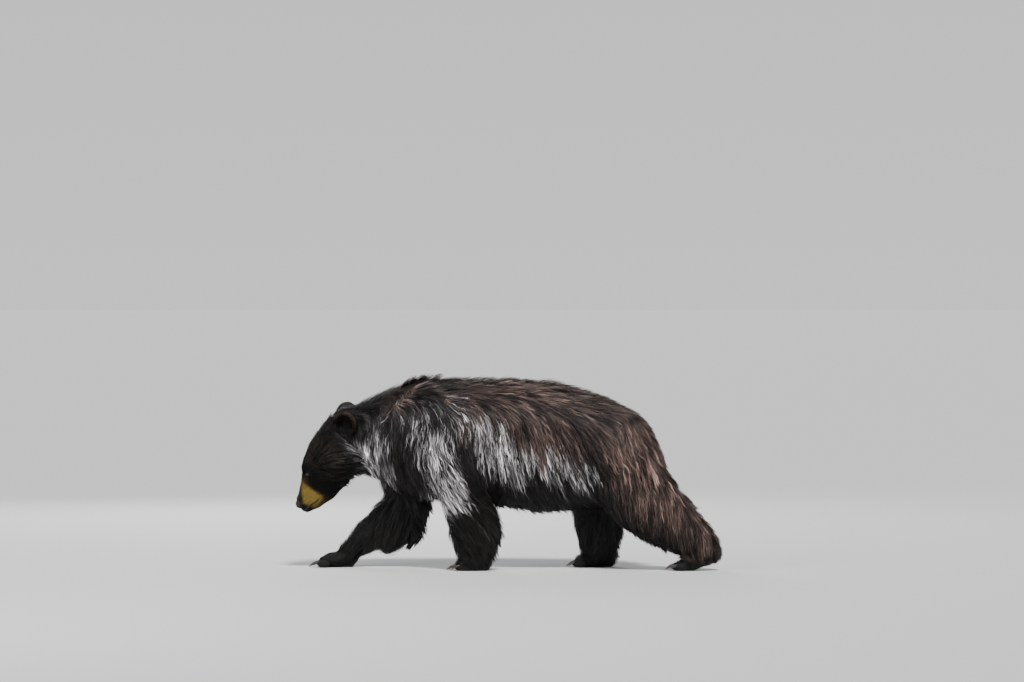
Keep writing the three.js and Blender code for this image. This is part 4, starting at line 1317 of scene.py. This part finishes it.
def add_coat(label, tufts, roots, material):
    """Makes one piece for each region, with the tufts' places on that region's unwrap."""
    made = []
    regions = region_of(roots)
    for region in np.unique(regions):
        mask = regions == region
        chosen = Tufts(*(rows[mask] for rows in tufts))
        chosen = chosen._replace(places=unwrap(roots[mask], line_for(region)))
        made.append(tuft_piece(f"{label}_{region}", chosen, material))
    return made


# ---------------------------------------------------------------- details of the head
def eye_axes(side):
    gaze = unit(mirrored(EYE["gaze"], side))
    corner = unit(np.cross(gaze, [0.35, 0, 1]))
    return corner, np.cross(gaze, corner), gaze


def polar_point(axes, centre, radius, polar, around):
    """Points on a sphere, by the angle from its gaze and the angle round it, in the head's frame."""
    a, b, gaze = axes
    flat = np.cos(around)[..., None] * a + np.sin(around)[..., None] * b
    way = np.cos(polar)[..., None] * gaze + np.sin(polar)[..., None] * flat
    return centre + way * np.asarray(radius)[..., None]


def turns(count):
    """Angles all the way round, without the last, which is the first again."""
    return np.arange(count) * 2 * math.pi / count


CORNEA_RISE = 0.7  # how far the cornea stands out of the eyeball
CORNEA_HALF = 0.55  # and how wide it is, as an angle


def make_eye(name, side):
    rows, across = 22, 32
    polar, around = np.meshgrid(np.linspace(0.01, math.pi - 0.01, rows), turns(across), indexing="ij")
    radius = EYE["radius"] + CORNEA_RISE * bell(polar / CORNEA_HALF)
    points = polar_point(eye_axes(side), mirrored(EYE["centre"], side), radius, polar, around).reshape(-1, 3)
    eye = mesh_piece(name, from_head(points), ring_faces(rows, across), MATERIALS["eye"])
    number_points(eye, "polar", polar / math.pi)
    vector_points(eye, "around", np.stack([np.cos(around), np.sin(around), polar * 0.3], -1))
    return eye


LID_THICK = 2.6
# The lids' section: how far out from the opening's edge, as an angle, and how far over the eyeball.
LID_SECTION = [
    (-0.05, -0.5), (0, 0.3), (0.05, 1.4), (0.14, 2.4),
    (0.3, LID_THICK), (0.55, 2.2), (0.8, 0.8), (1.1, -2),
]


def make_lids(name, side):
    """Both lids of an eye: a ring with an almond opening, on the eyeball, that runs out under the skin."""
    across = 56
    around = turns(across)
    wide, high = EYE["opening"]
    almond = 1 / np.sqrt((np.cos(around) / wide) ** 2 + (np.sin(around) / high) ** 2)
    almond = almond * (1 + 0.10 * np.abs(np.cos(around)) ** 6)
    edge = np.arcsin(np.clip(almond / EYE["radius"], 0, 0.97))
    axes, centre = eye_axes(side), mirrored(EYE["centre"], side)
    rows = [polar_point(axes, centre, EYE["radius"] + rise, edge + out, around) for out, rise in LID_SECTION]
    return mesh_piece(name, from_head(np.concatenate(rows)), ring_faces(len(rows), across), MATERIALS["lid"])


NOSE_CELL = 1.6
NOSE_MARGIN = 4
GROOVE = {"deep": 1.6, "half": 1.6, "fade": (8, -6)}  # the groove down the middle of the nose pad


def nose_distance(points):
    """Distance to the nose pad in the head's frame, with its nostrils, slits and groove."""
    pad = ellipsoid(points - NOSE["centre"], np.array(NOSE["half"], float))
    for side in (LEFT, RIGHT):
        for hollow in (NOSTRIL, SLIT):
            cut = -ellipsoid(points - mirrored(hollow["centre"], side), np.array(hollow["half"], float))
            pad = -smooth_min(-pad, -cut, SOFT["nostril"])
    groove = GROOVE["deep"] * bell(points[:, 1] / GROOVE["half"])
    return pad + groove * smoothstep(*GROOVE["fade"], points[:, 2])


def make_nose():
    low = np.array(NOSE["centre"]) - NOSE["half"] - NOSE_MARGIN
    count = np.ceil((2 * np.array(NOSE["half"]) + 2 * NOSE_MARGIN) / NOSE_CELL).astype(int) + 1
    values = nose_distance(grid_points(low, count, NOSE_CELL).reshape(-1, 3)).reshape(count)
    points, quads = nets(values, low, NOSE_CELL)
    for _ in range(2):
        slope = slope_of(nose_distance, points, 0.5)
        points = points - np.clip(nose_distance(points), -1, 1)[:, None] * slope
    return mesh_piece("nose_pad", from_head(points), quads, MATERIALS["nose"])


def catmull(points, count):
    """A smooth row of points through given ones."""
    points = np.array(points, float)
    padded = np.concatenate([[2 * points[0] - points[1]], points, [2 * points[-1] - points[-2]]])
    out = []
    for t in np.linspace(0, len(points) - 1 - 1e-9, count):
        i = int(t)
        f = t - i
        a, b, c, d = padded[i : i + 4]
        bend = 2 * a - 5 * b + 4 * c - d
        out.append(0.5 * (2 * b + (c - a) * f + bend * f**2 + (3 * b - a - 3 * c + d) * f**3))
    return np.array(out)


# The lips' section, upper lip first: across the line of the mouth, and out of the skin.
LIP_SECTION = [
    (5, -4), (3.8, -0.9), (2.2, 0.3), (0.8, -0.2), (0.1, -2.6),
    (-0.7, -0.4), (-2, 0.0), (-3.6, -1.2), (-5, -4),
]
LIP_STEPS = 90  # sections from corner to corner of the mouth
LIP_ENDS = 14  # over this many from each corner the lips grow to their full size


def make_lips():
    half = [np.array(p, float) for p in MOUTH]
    whole = [mirrored(p, LEFT) for p in half[:-1]] + [half[-1]] + [mirrored(p, RIGHT) for p in half[-2::-1]]
    line, normals = settle(from_head(catmull(whole, LIP_STEPS)), 1.0, 4)
    along = unit(np.gradient(line, axis=0))
    up = unit(np.cross(normals, along))
    up = np.where(dot(up, HEAD_AXES[2])[:, None] < 0, -up, up)
    step = np.arange(LIP_STEPS)
    ends = smoothstep(0, LIP_ENDS, np.minimum(step, step[::-1]))[:, None]
    rows = []
    for over, out in LIP_SECTION:
        rows.append(line + up * (over * (0.35 + 0.65 * ends)) + normals * (out * ends - 3.5 * (1 - ends)))
    points = np.stack(rows, 1).reshape(-1, 3)
    return mesh_piece("lips", points, ring_faces(LIP_STEPS, len(rows), closed=False), MATERIALS["lip"])


EAR_ROWS, EAR_COUNT = 16, 48  # rows of points from foot to rim, and points in each
EAR_SKIN = 0.6  # how far the shell lies inside the solid's ear
EAR_HAIRS = {"outside": 3600, "hollow": 2000, "rim": 1300, "foot": 1100}
EAR_STATIONS = np.array([0, 0.5, 1.0])
EAR_SHADES = np.array([0.6, 1.0, 1.25])  # how bright its hair is at those, darker at the root as painted shade deep in the coat
EAR_MAP = 0.0036  # the ear's size on the bake's map, for each millimetre


def ear_frame(side):
    up = unit(mirrored(EAR["up"], side))
    rough = mirrored(EAR["facing"], side)
    facing = unit(rough - dot(rough, up) * up)
    return up, np.cross(facing, up), facing


def ear_shell(side, inner):
    """Points and outward directions of the ear's outside or hollow, in the head's frame."""
    up, across, facing = ear_frame(side)
    half = np.array(EAR["half"], float) - (EAR["wall"] if inner else EAR_SKIN)
    edge = math.acos(-EAR["rim"] / EAR["half"][2])
    polar, around = np.meshgrid(np.linspace(0.03, edge, EAR_ROWS), turns(EAR_COUNT), indexing="ij")
    local = np.stack([np.sin(polar) * np.cos(around), np.sin(polar) * np.sin(around), -np.cos(polar)], -1)
    lobes = 1 - 0.05 * np.cos(around * 2)[..., None]
    axes = np.stack([up, across, facing])
    points = mirrored(EAR["centre"], side) + (local * half * lobes) @ axes
    if inner:
        points = points + facing * 3.0
    outs = unit((local / half) @ axes)
    return points, (-outs if inner else outs)


def make_ear(name, side):
    outer, inner = ear_shell(side, False)[0], ear_shell(side, True)[0]
    lip = (outer[-1] + inner[-1]) / 2 + ear_frame(side)[2] * 1.6
    points = np.concatenate([outer, lip[None], inner[::-1]]).reshape(-1, 3)
    ear = mesh_piece(name, from_head(points), ring_faces(2 * EAR_ROWS + 1, EAR_COUNT), MATERIALS["skin"])
    # Painted shade: the hollow darker than the outside; the lip lighter.
    shade = np.repeat([1.0, 1.3, 0.6], [EAR_ROWS * EAR_COUNT, EAR_COUNT, EAR_ROWS * EAR_COUNT])
    colour_points(ear, "hair", np.tile(COAL, (len(points), 1)) * shade[:, None] * 1.5)
    return ear


def ear_place(side):
    """The ear's centre and the directions up, across and out of its hollow, in the body's frame."""
    up, across, facing = (axis @ HEAD_AXES for axis in ear_frame(side))
    return from_head(mirrored(EAR["centre"], side)), up, across, facing


def shell_hair(side, inner, count, rng):
    """Hair on the outside of an ear or in its hollow: roots, outward directions, ways, lengths, colours, and
    how far it stands up as a share of its length."""
    centre, up, across, facing = ear_place(side)
    points, outs = ear_shell(side, inner)
    points, outs = from_head(points), outs @ HEAD_AXES
    row = (EAR_ROWS - 1) * np.sqrt(rng.random(count))
    turn = rng.random(count) * EAR_COUNT
    r0, a0 = row.astype(int), turn.astype(int)
    r1, a1 = np.minimum(r0 + 1, EAR_ROWS - 1), (a0 + 1) % EAR_COUNT
    fr, fa = (row - r0)[:, None], (turn - a0)[:, None]
    root = mix(mix(points[r0, a0], points[r1, a0], fr), mix(points[r0, a1], points[r1, a1], fr), fa)
    out = unit(mix(outs[r0, a0], outs[r1, a1], 0.5))
    radial = unit(root - centre)
    if inner:
        way = unit(0.5 * facing + 0.8 * up + 0.25 * across * rng.normal(0, 1, count)[:, None] - 0.2 * radial)
        length = rng.uniform(12, 24, count)
        colour = mix(BLACK_AND_SHADE * 2, EAR_RIM, 0.26 * rng.random(count)[:, None])
        return root, out, way, length, colour, np.full(count, 0.35)
    rim = smoothstep(EAR_ROWS - 4, EAR_ROWS - 1, row)
    way = unit(along_surface(0.9 * up + 0.35 * radial, out) + facing * 0.2 * rim[:, None])
    low = smoothstep(12, -30, (root - centre) @ up)
    length = rng.uniform(7, 12, count) * (1 + 1.6 * low)
    colour = mix(np.tile(COAL * 1.4, (count, 1)), EAR_RIM, (rim * rng.uniform(0.3, 1, count))[:, None])
    return root, out, way, length, colour, np.full(count, 0.22)


def rim_hair(side, count, rng):
    """The pale hair along the ear's rim, in the same rows as shell_hair's."""
    centre, up, _, facing = ear_place(side)
    rim = ear_shell(side, False)[0][-1]
    pick = rng.integers(0, EAR_COUNT, count)
    between = rng.random(count)[:, None]
    root = from_head(mix(rim[pick], rim[(pick + 1) % EAR_COUNT], between))
    root = root - facing * rng.uniform(0, 4, count)[:, None]
    radial = unit(root - centre)
    way = unit(facing * rng.uniform(-0.1, 0.6, count)[:, None] + radial * 0.6 + 0.5 * up)
    upper = smoothstep(-0.3, 0.6, radial @ up)
    colour = mix(COAL, EAR_RIM * 0.8, (upper * rng.uniform(0.2, 1.2, count))[:, None])
    return root, unit(radial + facing), way, rng.uniform(4, 8.5, count), colour, np.full(count, 0.3)


def foot_hair(side, count, rng):
    """The long dark hair that stands over the ear's foot, in the same rows as shell_hair's."""
    _, up, across, facing = ear_place(side)
    rim = ear_shell(side, False)[0][-1]
    pick = (EAR_COUNT * (0.5 + 0.17 * rng.uniform(-1, 1, count))).astype(int)
    root = from_head(rim[pick]) - up * rng.uniform(0, 14, count)[:, None]
    root = root + facing * rng.normal(2, 3, count)[:, None]
    way = up + facing * rng.uniform(0.1, 0.4, count)[:, None] + across * rng.normal(0, 0.18, count)[:, None]
    colour = np.tile(COAL, (count, 1)) * rng.uniform(0.5, 1.6, count)[:, None]
    out = np.tile(facing, (count, 1))
    return root, out, unit(way), rng.uniform(20, 38, count), colour, np.full(count, 0.12)


def ear_tufts(side, rng, density):
    """Short hair outside, hair that fills the hollow, pale hair along the rim and dark hair at the foot."""
    outside, hollow, rim, foot = (int(number * density) for number in EAR_HAIRS.values())
    rows = [
        shell_hair(side, False, outside, rng),
        shell_hair(side, True, hollow, rng),
        rim_hair(side, rim, rng),
        foot_hair(side, foot, rng),
    ]
    root, out, way, length, colour, stand = (np.concatenate(x) for x in zip(*rows))
    along = EAR_STATIONS[None, :, None]
    spine = root[:, None] - out[:, None] * 0.8 + (way * length[:, None])[:, None] * along
    spine = spine + (out * (stand * length)[:, None])[:, None] * (along * 0.9)
    sides = np.repeat(unit(np.cross(out, way))[:, None], 2, axis=1)
    outs = np.repeat(out[:, None], 2, axis=1)
    bright = np.exp(rng.normal(0, 0.3, len(root)))
    colours = on_rings(colour[:, None] * bright[:, None, None] * EAR_SHADES[None, :, None])
    widths = rng.uniform(1.1, 1.9, len(root))[:, None] * np.array([1.0, 0.8])
    centre, up, across, facing = ear_place(side)
    flat = np.stack([(root - centre) @ up, (root - centre) @ across], 1)
    depth = (root - centre) @ facing
    places = 0.5 + flat * EAR_MAP + np.where(depth[:, None] < 0, 0.0, 0.002)
    return Tufts(spine, sides, outs, widths, colours, np.clip(places, MAP_EDGE, 1 - MAP_EDGE))


def make_claws(paw_name, paw):
    """The five claws of a paw: curved cones of horn."""
    points, faces, along = [], [], []
    rows, count = 12, 14
    t, around = np.meshgrid(np.linspace(-0.06, 0.985, rows), turns(count), indexing="ij")
    for centre in paw["centres"]:
        root = centre + paw["forward"] * (TOE["half"][0] - CLAW["root"]) + UP * CLAW["rise"]
        length = paw["claw"] + CLAW["root"]
        middle = root + t[..., None] * length * paw["forward"] - CLAW["droop"] * (t**2)[..., None] * UP
        taper = np.sqrt(np.clip(1 - t, 0, 1)) * (1 - 0.25 * t)
        wide = CLAW["wide"] * taper * np.cos(around)
        deep = CLAW["deep"] * taper * np.sin(around) * np.where(np.sin(around) < 0, 0.8, 1)
        ring = middle + wide[..., None] * paw["across"] + deep[..., None] * UP
        faces.append(ring_faces(rows, count) + len(points) * rows * count)
        points.append(ring.reshape(-1, 3))
        along.append(t.ravel())
    claws = mesh_piece(f"claws_{paw_name}", np.concatenate(points), np.concatenate(faces), MATERIALS["claw"])
    number_points(claws, "along", np.concatenate(along))
    return claws


# ---------------------------------------------------------------- the whole animal
LONG_COAT = 13  # a coat from this deep is made of long tufts
DENSITY = 1.0
# How tufts are made: how many, their stations from root to tip, their width at each ring, how bright they are
# along them, darker at the root as painted shade deep in the coat, how far they stray, gather, wave and lift,
# how much strands differ, how much painted shade darkens the gaps between strands, and their width, as a part
# that is always there and a share of the coat's depth.
LONG = {
    "count": 106_000,
    "stations": (0, 0.2, 0.41, 0.62, 0.82, 1),
    "profile": (0.8, 1, 0.95, 0.8, 0.5),
    "shades": ((0, 0.3), (0.3, 0.8), (1, 1.35)),
    "stray": 0.06,
    "pull": 0.7,
    "wave": 3.0,
    "lift": 1.0,
    "contrast": 0.62,
    "gap": 0.9,
    "thin": 0.85,
    "thick": 0.026,
}
SHORT = {
    "count": 62_000,
    "stations": (0, 0.4, 0.75, 1),
    "profile": (0.9, 1, 0.7),
    "shades": ((0, 0.5), (0.4, 1.0), (1, 1.15)),
    "stray": 0.12,
    "pull": 0.3,
    "wave": 0.0,
    "lift": 0.0,
    "contrast": 0.1,
    "gap": 0.4,
    "thin": 0.98,
    "thick": 0.045,
}
# How far apart the lines of strands and locks lie, and how long they are.
STRANDS = (6.5, 62.0)
LOCKS = (24.0, 130.0)
FACE_STRANDS = (4.5, 24.0)
SOLE_EDGE = 3.5  # no hair grows below this
FAR_OUT = 80  # nor this far from the coat's tips
LIP_HALF = 2.6  # nor this close to the line of the mouth
EYE_BARE = LID_THICK + 1.5  # nor this close to an eyeball
NOSE_BARE = 3  # or to the nose pad
MOUTH_U = 200  # the mouth lies ahead of this


def hairless(points):
    """True where no tuft grows: soles, eyes, nose, lips."""
    q = to_head(points)
    bare = (points[:, 2] < SOLE_EDGE) | (np.abs(form_at(points)[0]) > FAR_OUT)
    for side in (LEFT, RIGHT):
        bare |= np.linalg.norm(q - mirrored(EYE["centre"], side), axis=1) < EYE["radius"] + EYE_BARE
    bare |= ellipsoid(q - NOSE["centre"], np.array(NOSE["half"], float)) < NOSE_BARE
    line = catmull(MOUTH, 40)
    folded = np.stack([q[:, 0], np.abs(q[:, 1]), q[:, 2]], 1)
    near = folded[:, 0] > MOUTH_U
    away = np.min(np.linalg.norm(folded[near][:, None] - line[None], axis=2), axis=1)
    bare[near] |= away < LIP_HALF
    return bare


HANG_BEHIND, HANG_BELOW, HANG_ALL = 34, 12, 8
FRINGE_COAT = (46, 58)  # over these depths a coat becomes a fringe
BELLY_RISE = (300, 340)  # over these heights legs end and the belly begins


def hang(roots, normals, coat):
    """How far tips stand out where hair hangs free: most behind the legs, less under the belly."""
    behind = smoothstep(*FRINGE_COAT, coat) * smoothstep(0.2, 0.8, normals[:, 0])
    below = smoothstep(0.5, 0.95, -normals[:, 2]) * smoothstep(*BELLY_RISE, roots[:, 2])
    return HANG_BEHIND * behind + HANG_BELOW * below + HANG_ALL


# Where locks stand out of the coat: the line of their bases in XZ, the middle and half width in Y, the way
# their tips point in XZ, how far they stand out, from and to, and how many there are.
LOOSE_LOCKS = [
    (((-452, 806), (-400, 818), (-340, 822), (-285, 815)), (0, 48), (0.4, 0.9), (8, 30), 90),  # the crest
    (((-270, 812), (-160, 817), (-40, 821)), (0, 44), (0.85, 0.5), (3, 15), 60),
    (((-40, 821), (130, 815), (300, 780), (470, 695)), (0, 60), (0.95, 0.3), (1, 9), 90),  # the back
    (((560, 623), (628, 542), (666, 460), (701, 383)), (-30, 90), (0.75, -0.65), (3, 14), 110),  # the rump
    (((652, 490), (690, 415), (722, 340)), (-70, 70), (0.5, -0.87), (2, 12), 200),
    # the elbows
    (((-62, 300), (-45, 240), (-32, 190), (-50, 150), (-60, 50)), (-140, 48), (0.6, -0.8), (6, 34), 130),
    (((-395, 350), (-362, 260), (-372, 180), (-400, 110), (-450, 70)), (130, 44), (0.6, -0.8), (6, 26), 110),
    (((-60, 290), (60, 262), (160, 252), (280, 262)), (0, 120), (0.3, -0.95), (4, 20), 140),  # the belly
    (((757, 305), (821, 232), (873, 168), (905, 110)), (-128, 40), (0.7, -0.7), (3, 16), 70),  # the hind legs
    (((540, 155), (610, 112), (680, 70)), (-128, 40), (0.1, -1.0), (3, 16), 60),
    (((484, 170), (490, 116), (462, 50)), (126, 40), (0.6, -0.8), (3, 18), 50),
    (((-715, 350), (-655, 388), (-560, 396)), (10, 80), (0.6, -0.8), (3, 15), 110),  # the throat
]
HAIRS_A_LOCK = 16
LOCK_ROOT = 8.0  # spread of a lock's hairs at their roots
LOCK_TIP = 1.4  # and at their tips
LOCK_SWAY = 0.22  # how far locks turn from the way given


def loose_locks(rng, share):
    """Pointed locks that stand out of the coat: their hairs' spines, roots, and outward directions there."""
    bases, ways, outs = [], [], []
    for line, (middle, half), (way_x, way_z), reach, number in LOOSE_LOCKS:
        count = int(number * share)
        line = np.array(line, float)
        t = rng.uniform(0, len(line) - 1, count)
        x, z = (np.interp(t, np.arange(len(line)), line[:, i]) for i in (0, 1))
        bases.append(np.stack([x, middle + half * rng.uniform(-1, 1, count), z], 1))
        ways.append(np.tile([way_x, 0, way_z], (count, 1)) + rng.normal(0, LOCK_SWAY, (count, 3)))
        outs.append(rng.uniform(*reach, count))
    base, way, out = (np.repeat(np.concatenate(x), HAIRS_A_LOCK, axis=0) for x in (bases, ways, outs))
    count = len(base)
    base, normals = settle(base, 0.0, 4)
    lie = lie_at(base, normals)
    side = unit(np.cross(normals, lie))
    tip = base + unit(way) * out[:, None] + rng.normal(0, LOCK_TIP, (count, 3))
    coat = form_at(base)[2]
    back = base - lie * (1.1 * coat * rng.uniform(0.7, 1.2, count))[:, None]
    back = back + side * rng.normal(0, LOCK_ROOT, count)[:, None]
    root, normals = settle(back, skin_depth(coat), 3)
    bend = root + lie_at(root, normals) * (0.5 * coat)[:, None] + normals * (0.5 * coat)[:, None]
    t = np.array(LONG["stations"])[None, :, None]
    spine = root[:, None] * (1 - t) ** 2 + 2 * t * (1 - t) * bend[:, None] + t**2 * tip[:, None]
    spine[..., 2] = np.clip(spine[..., 2], FLOOR_GAP, TALLEST)
    return spine, root, normals


def coloured_locks(rng, spine, root, normals):
    """The tufts of loose locks, in the coat's colours with their painted sheen and shade. Returns them and
    their roots.
    """
    count, rings = len(spine), spine.shape[1] - 1
    each = np.repeat(rng.random(count // HAIRS_A_LOCK), HAIRS_A_LOCK)
    outs = np.repeat(normals[:, None], rings, axis=1)
    sides = unit(np.cross(outs, np.gradient(spine, axis=1)[:, :rings]))
    bright = np.exp(0.5 * (each - 0.5) + rng.normal(0, 0.35, count))
    colour = markings_and_painted_light(root, 0.7 * each + 0.3 * rng.random(count), np.zeros(count)) * bright[:, None]
    colours = on_rings(colour[:, None] * shades_along(LONG))
    widths = tuft_widths(LONG, form_at(root)[2], rng)
    return Tufts(spine, sides, outs, widths, colours, np.zeros((count, 2))), root


SKIN_SHADE = 0.7  # the skin's colour under the coat, as a share of the coat's
PAD_TOP = 4  # below this the skin is bare pad
SEED = 11


def dress_trunk(rng):
    """The skin and the coat that grows on it."""
    points, quads = make_skin()
    triangles = triangles_of(quads)
    skin = mesh_piece("skin", points, triangles, MATERIALS["skin"])
    colour = markings_and_painted_light(points, np.full(len(points), 0.5), np.zeros(len(points)))
    colour[points[:, 2] < PAD_TOP] = PAD
    colour_points(skin, "hair", colour * SKIN_SHADE)

    coat = form_at(points)[2]
    weight = 1 / (1 + 0.02 * coat) / np.maximum(coat, 4)  # roots stand closer under a short coat
    weight[hairless(points)] = 0
    surface = (points, triangles)
    strands, locks, fine = (Strands(surface, *spread, rng) for spread in (STRANDS, LOCKS, FACE_STRANDS))
    pieces = []
    for label, style, mask, near_lines, material in (
        ("coat", LONG, coat >= LONG_COAT, strands, MATERIALS["hair"]),
        ("short_coat", SHORT, coat < LONG_COAT, fine, MATERIALS["face_hair"]),
    ):
        roots = spread_roots(points, triangles, weight * mask, int(style["count"] * DENSITY), rng)
        roots = roots[~hairless(roots)]
        pieces += add_coat(label, grow(roots, rng, style, near_lines, locks), roots, material)
    loose = coloured_locks(rng, *loose_locks(rng, DENSITY))
    pieces += add_coat("loose_coat", *loose, MATERIALS["hair"])
    flesh = [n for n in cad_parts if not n.startswith(("eye", "claw", "nose", "ear"))]
    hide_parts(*flesh)
    return pieces + [skin]


def dress_head(rng):
    """Ears, eyes with their lids, nose and lips."""
    pieces = []
    for name, side in (("left", LEFT), ("right", RIGHT)):
        ear = make_ear(f"ear_shell_{name}", side)
        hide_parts(f"ear_{name}")
        eye = make_eye(f"eyeball_{name}", side)
        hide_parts(f"eye_{name}")
        pieces += [ear, eye, make_lids(f"lids_{name}", side)]
        pieces.append(tuft_piece(f"coat_ear_{name}", ear_tufts(side, rng, DENSITY), MATERIALS["face_hair"]))
    nose = make_nose()
    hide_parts("nose")
    return pieces + [nose, make_lips()]


def dress_paws():
    pieces = []
    for name, paw in PAWS.items():
        claws = make_claws(name, paw)
        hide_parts(*(f"claw_{name}_{i + 1}" for i in range(TOES)))
        pieces.append(claws)
    return pieces


def dress():
    rng = np.random.default_rng(SEED)
    for piece in dress_trunk(rng) + dress_head(rng) + dress_paws():
        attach(piece, "root")


# ---------------------------------------------------------------- studio
# The photograph's view: square to the body's left side, a little above it.
PIXELS = (1024, 682)
EYE_POINT = np.array([13.0, -20000.0, 1300.0])
AIM = np.array([13.0, 0.0, 980.0])
MM_PER_PIXEL = 4.3
SENSOR = 36.0
# The lights, in metres: a soft sun, and two areas that aim at the body's middle.
KEY = {"from": (0.9, -3.6, 4.6), "strength": 4.9, "softness": 11, "colour": (1.0, 0.985, 0.96)}
AREAS = [("fill", (-4.2, -4.0, 2.6), (0.93, 0.96, 1.0)), ("back", (-1.5, 5.0, 3.0), (1.0, 0.98, 0.95))]
AREA_AIM = Vector((0, 0, 0.4))
AREA_SIZE, AREA_POWER = 3.0, 150
FLOOR_REACH = 120.0
FLOOR_STOPS = [(0.3, (0.55, 0.55, 0.545)), (0.7, (0.59, 0.59, 0.585))]
# The world's grey, from the horizon up.
SKY_STOPS = [(0.0, (0.865, 0.865, 0.86)), (0.12, (0.74, 0.75, 0.76)), (0.3, (0.40, 0.42, 0.45))]


def facing_along(way):
    """The rotation of a camera or light that looks along a way."""
    return Vector(way).to_track_quat("-Z", "Y").to_euler()


def make_camera():
    camera = bpy.data.cameras.new("camera")
    camera.sensor_width = SENSOR
    distance = np.linalg.norm(AIM - EYE_POINT)
    camera.lens = SENSOR * distance / (PIXELS[0] * MM_PER_PIXEL)
    camera.clip_end = 400
    holder = place_object("camera", camera)
    holder.location = Vector((EYE_POINT + OFFSET) * MM)
    holder.rotation_euler = facing_along(AIM - EYE_POINT)
    bpy.context.scene.camera = holder


def make_floor():
    material, tree = new_material("floor")
    cloud = add_node(tree, "ShaderNodeTexNoise", {"Scale": 0.6, "Detail": 2.0}).outputs["Fac"]
    set_shader(tree, {"Base Color": ramped(tree, cloud, FLOOR_STOPS), "Roughness": 0.85})
    corners = FLOOR_REACH * np.array([(-1, -1, 0), (1, -1, 0), (1, 1, 0), (-1, 1, 0)])
    mesh_piece("floor", corners, [[0, 1, 2, 3]], material, smooth=False, offset=False)


def make_lights():
    sun = bpy.data.lights.new("key", "SUN")
    sun.energy = KEY["strength"]
    sun.angle = math.radians(KEY["softness"])
    sun.color = KEY["colour"]
    place_object("key", sun).rotation_euler = facing_along(-Vector(KEY["from"]))
    for name, place, colour in AREAS:
        light = bpy.data.lights.new(name, "AREA")
        light.size = AREA_SIZE
        light.energy = AREA_POWER
        light.color = colour
        holder = place_object(name, light)
        holder.location = place
        holder.rotation_euler = facing_along(AREA_AIM - Vector(place))


def make_world():
    world = bpy.data.worlds.new("studio")
    world.use_nodes = True
    tree = world.node_tree
    place = add_node(tree, "ShaderNodeTexCoord", {}).outputs["Generated"]
    height = add_node(tree, "ShaderNodeSeparateXYZ", {"Vector": place}).outputs["Z"]
    feed(tree, tree.nodes["Background"], {"Color": ramped(tree, height, SKY_STOPS)})
    bpy.context.scene.world = world


make_camera()
dress()
make_floor()
make_lights()
make_world()
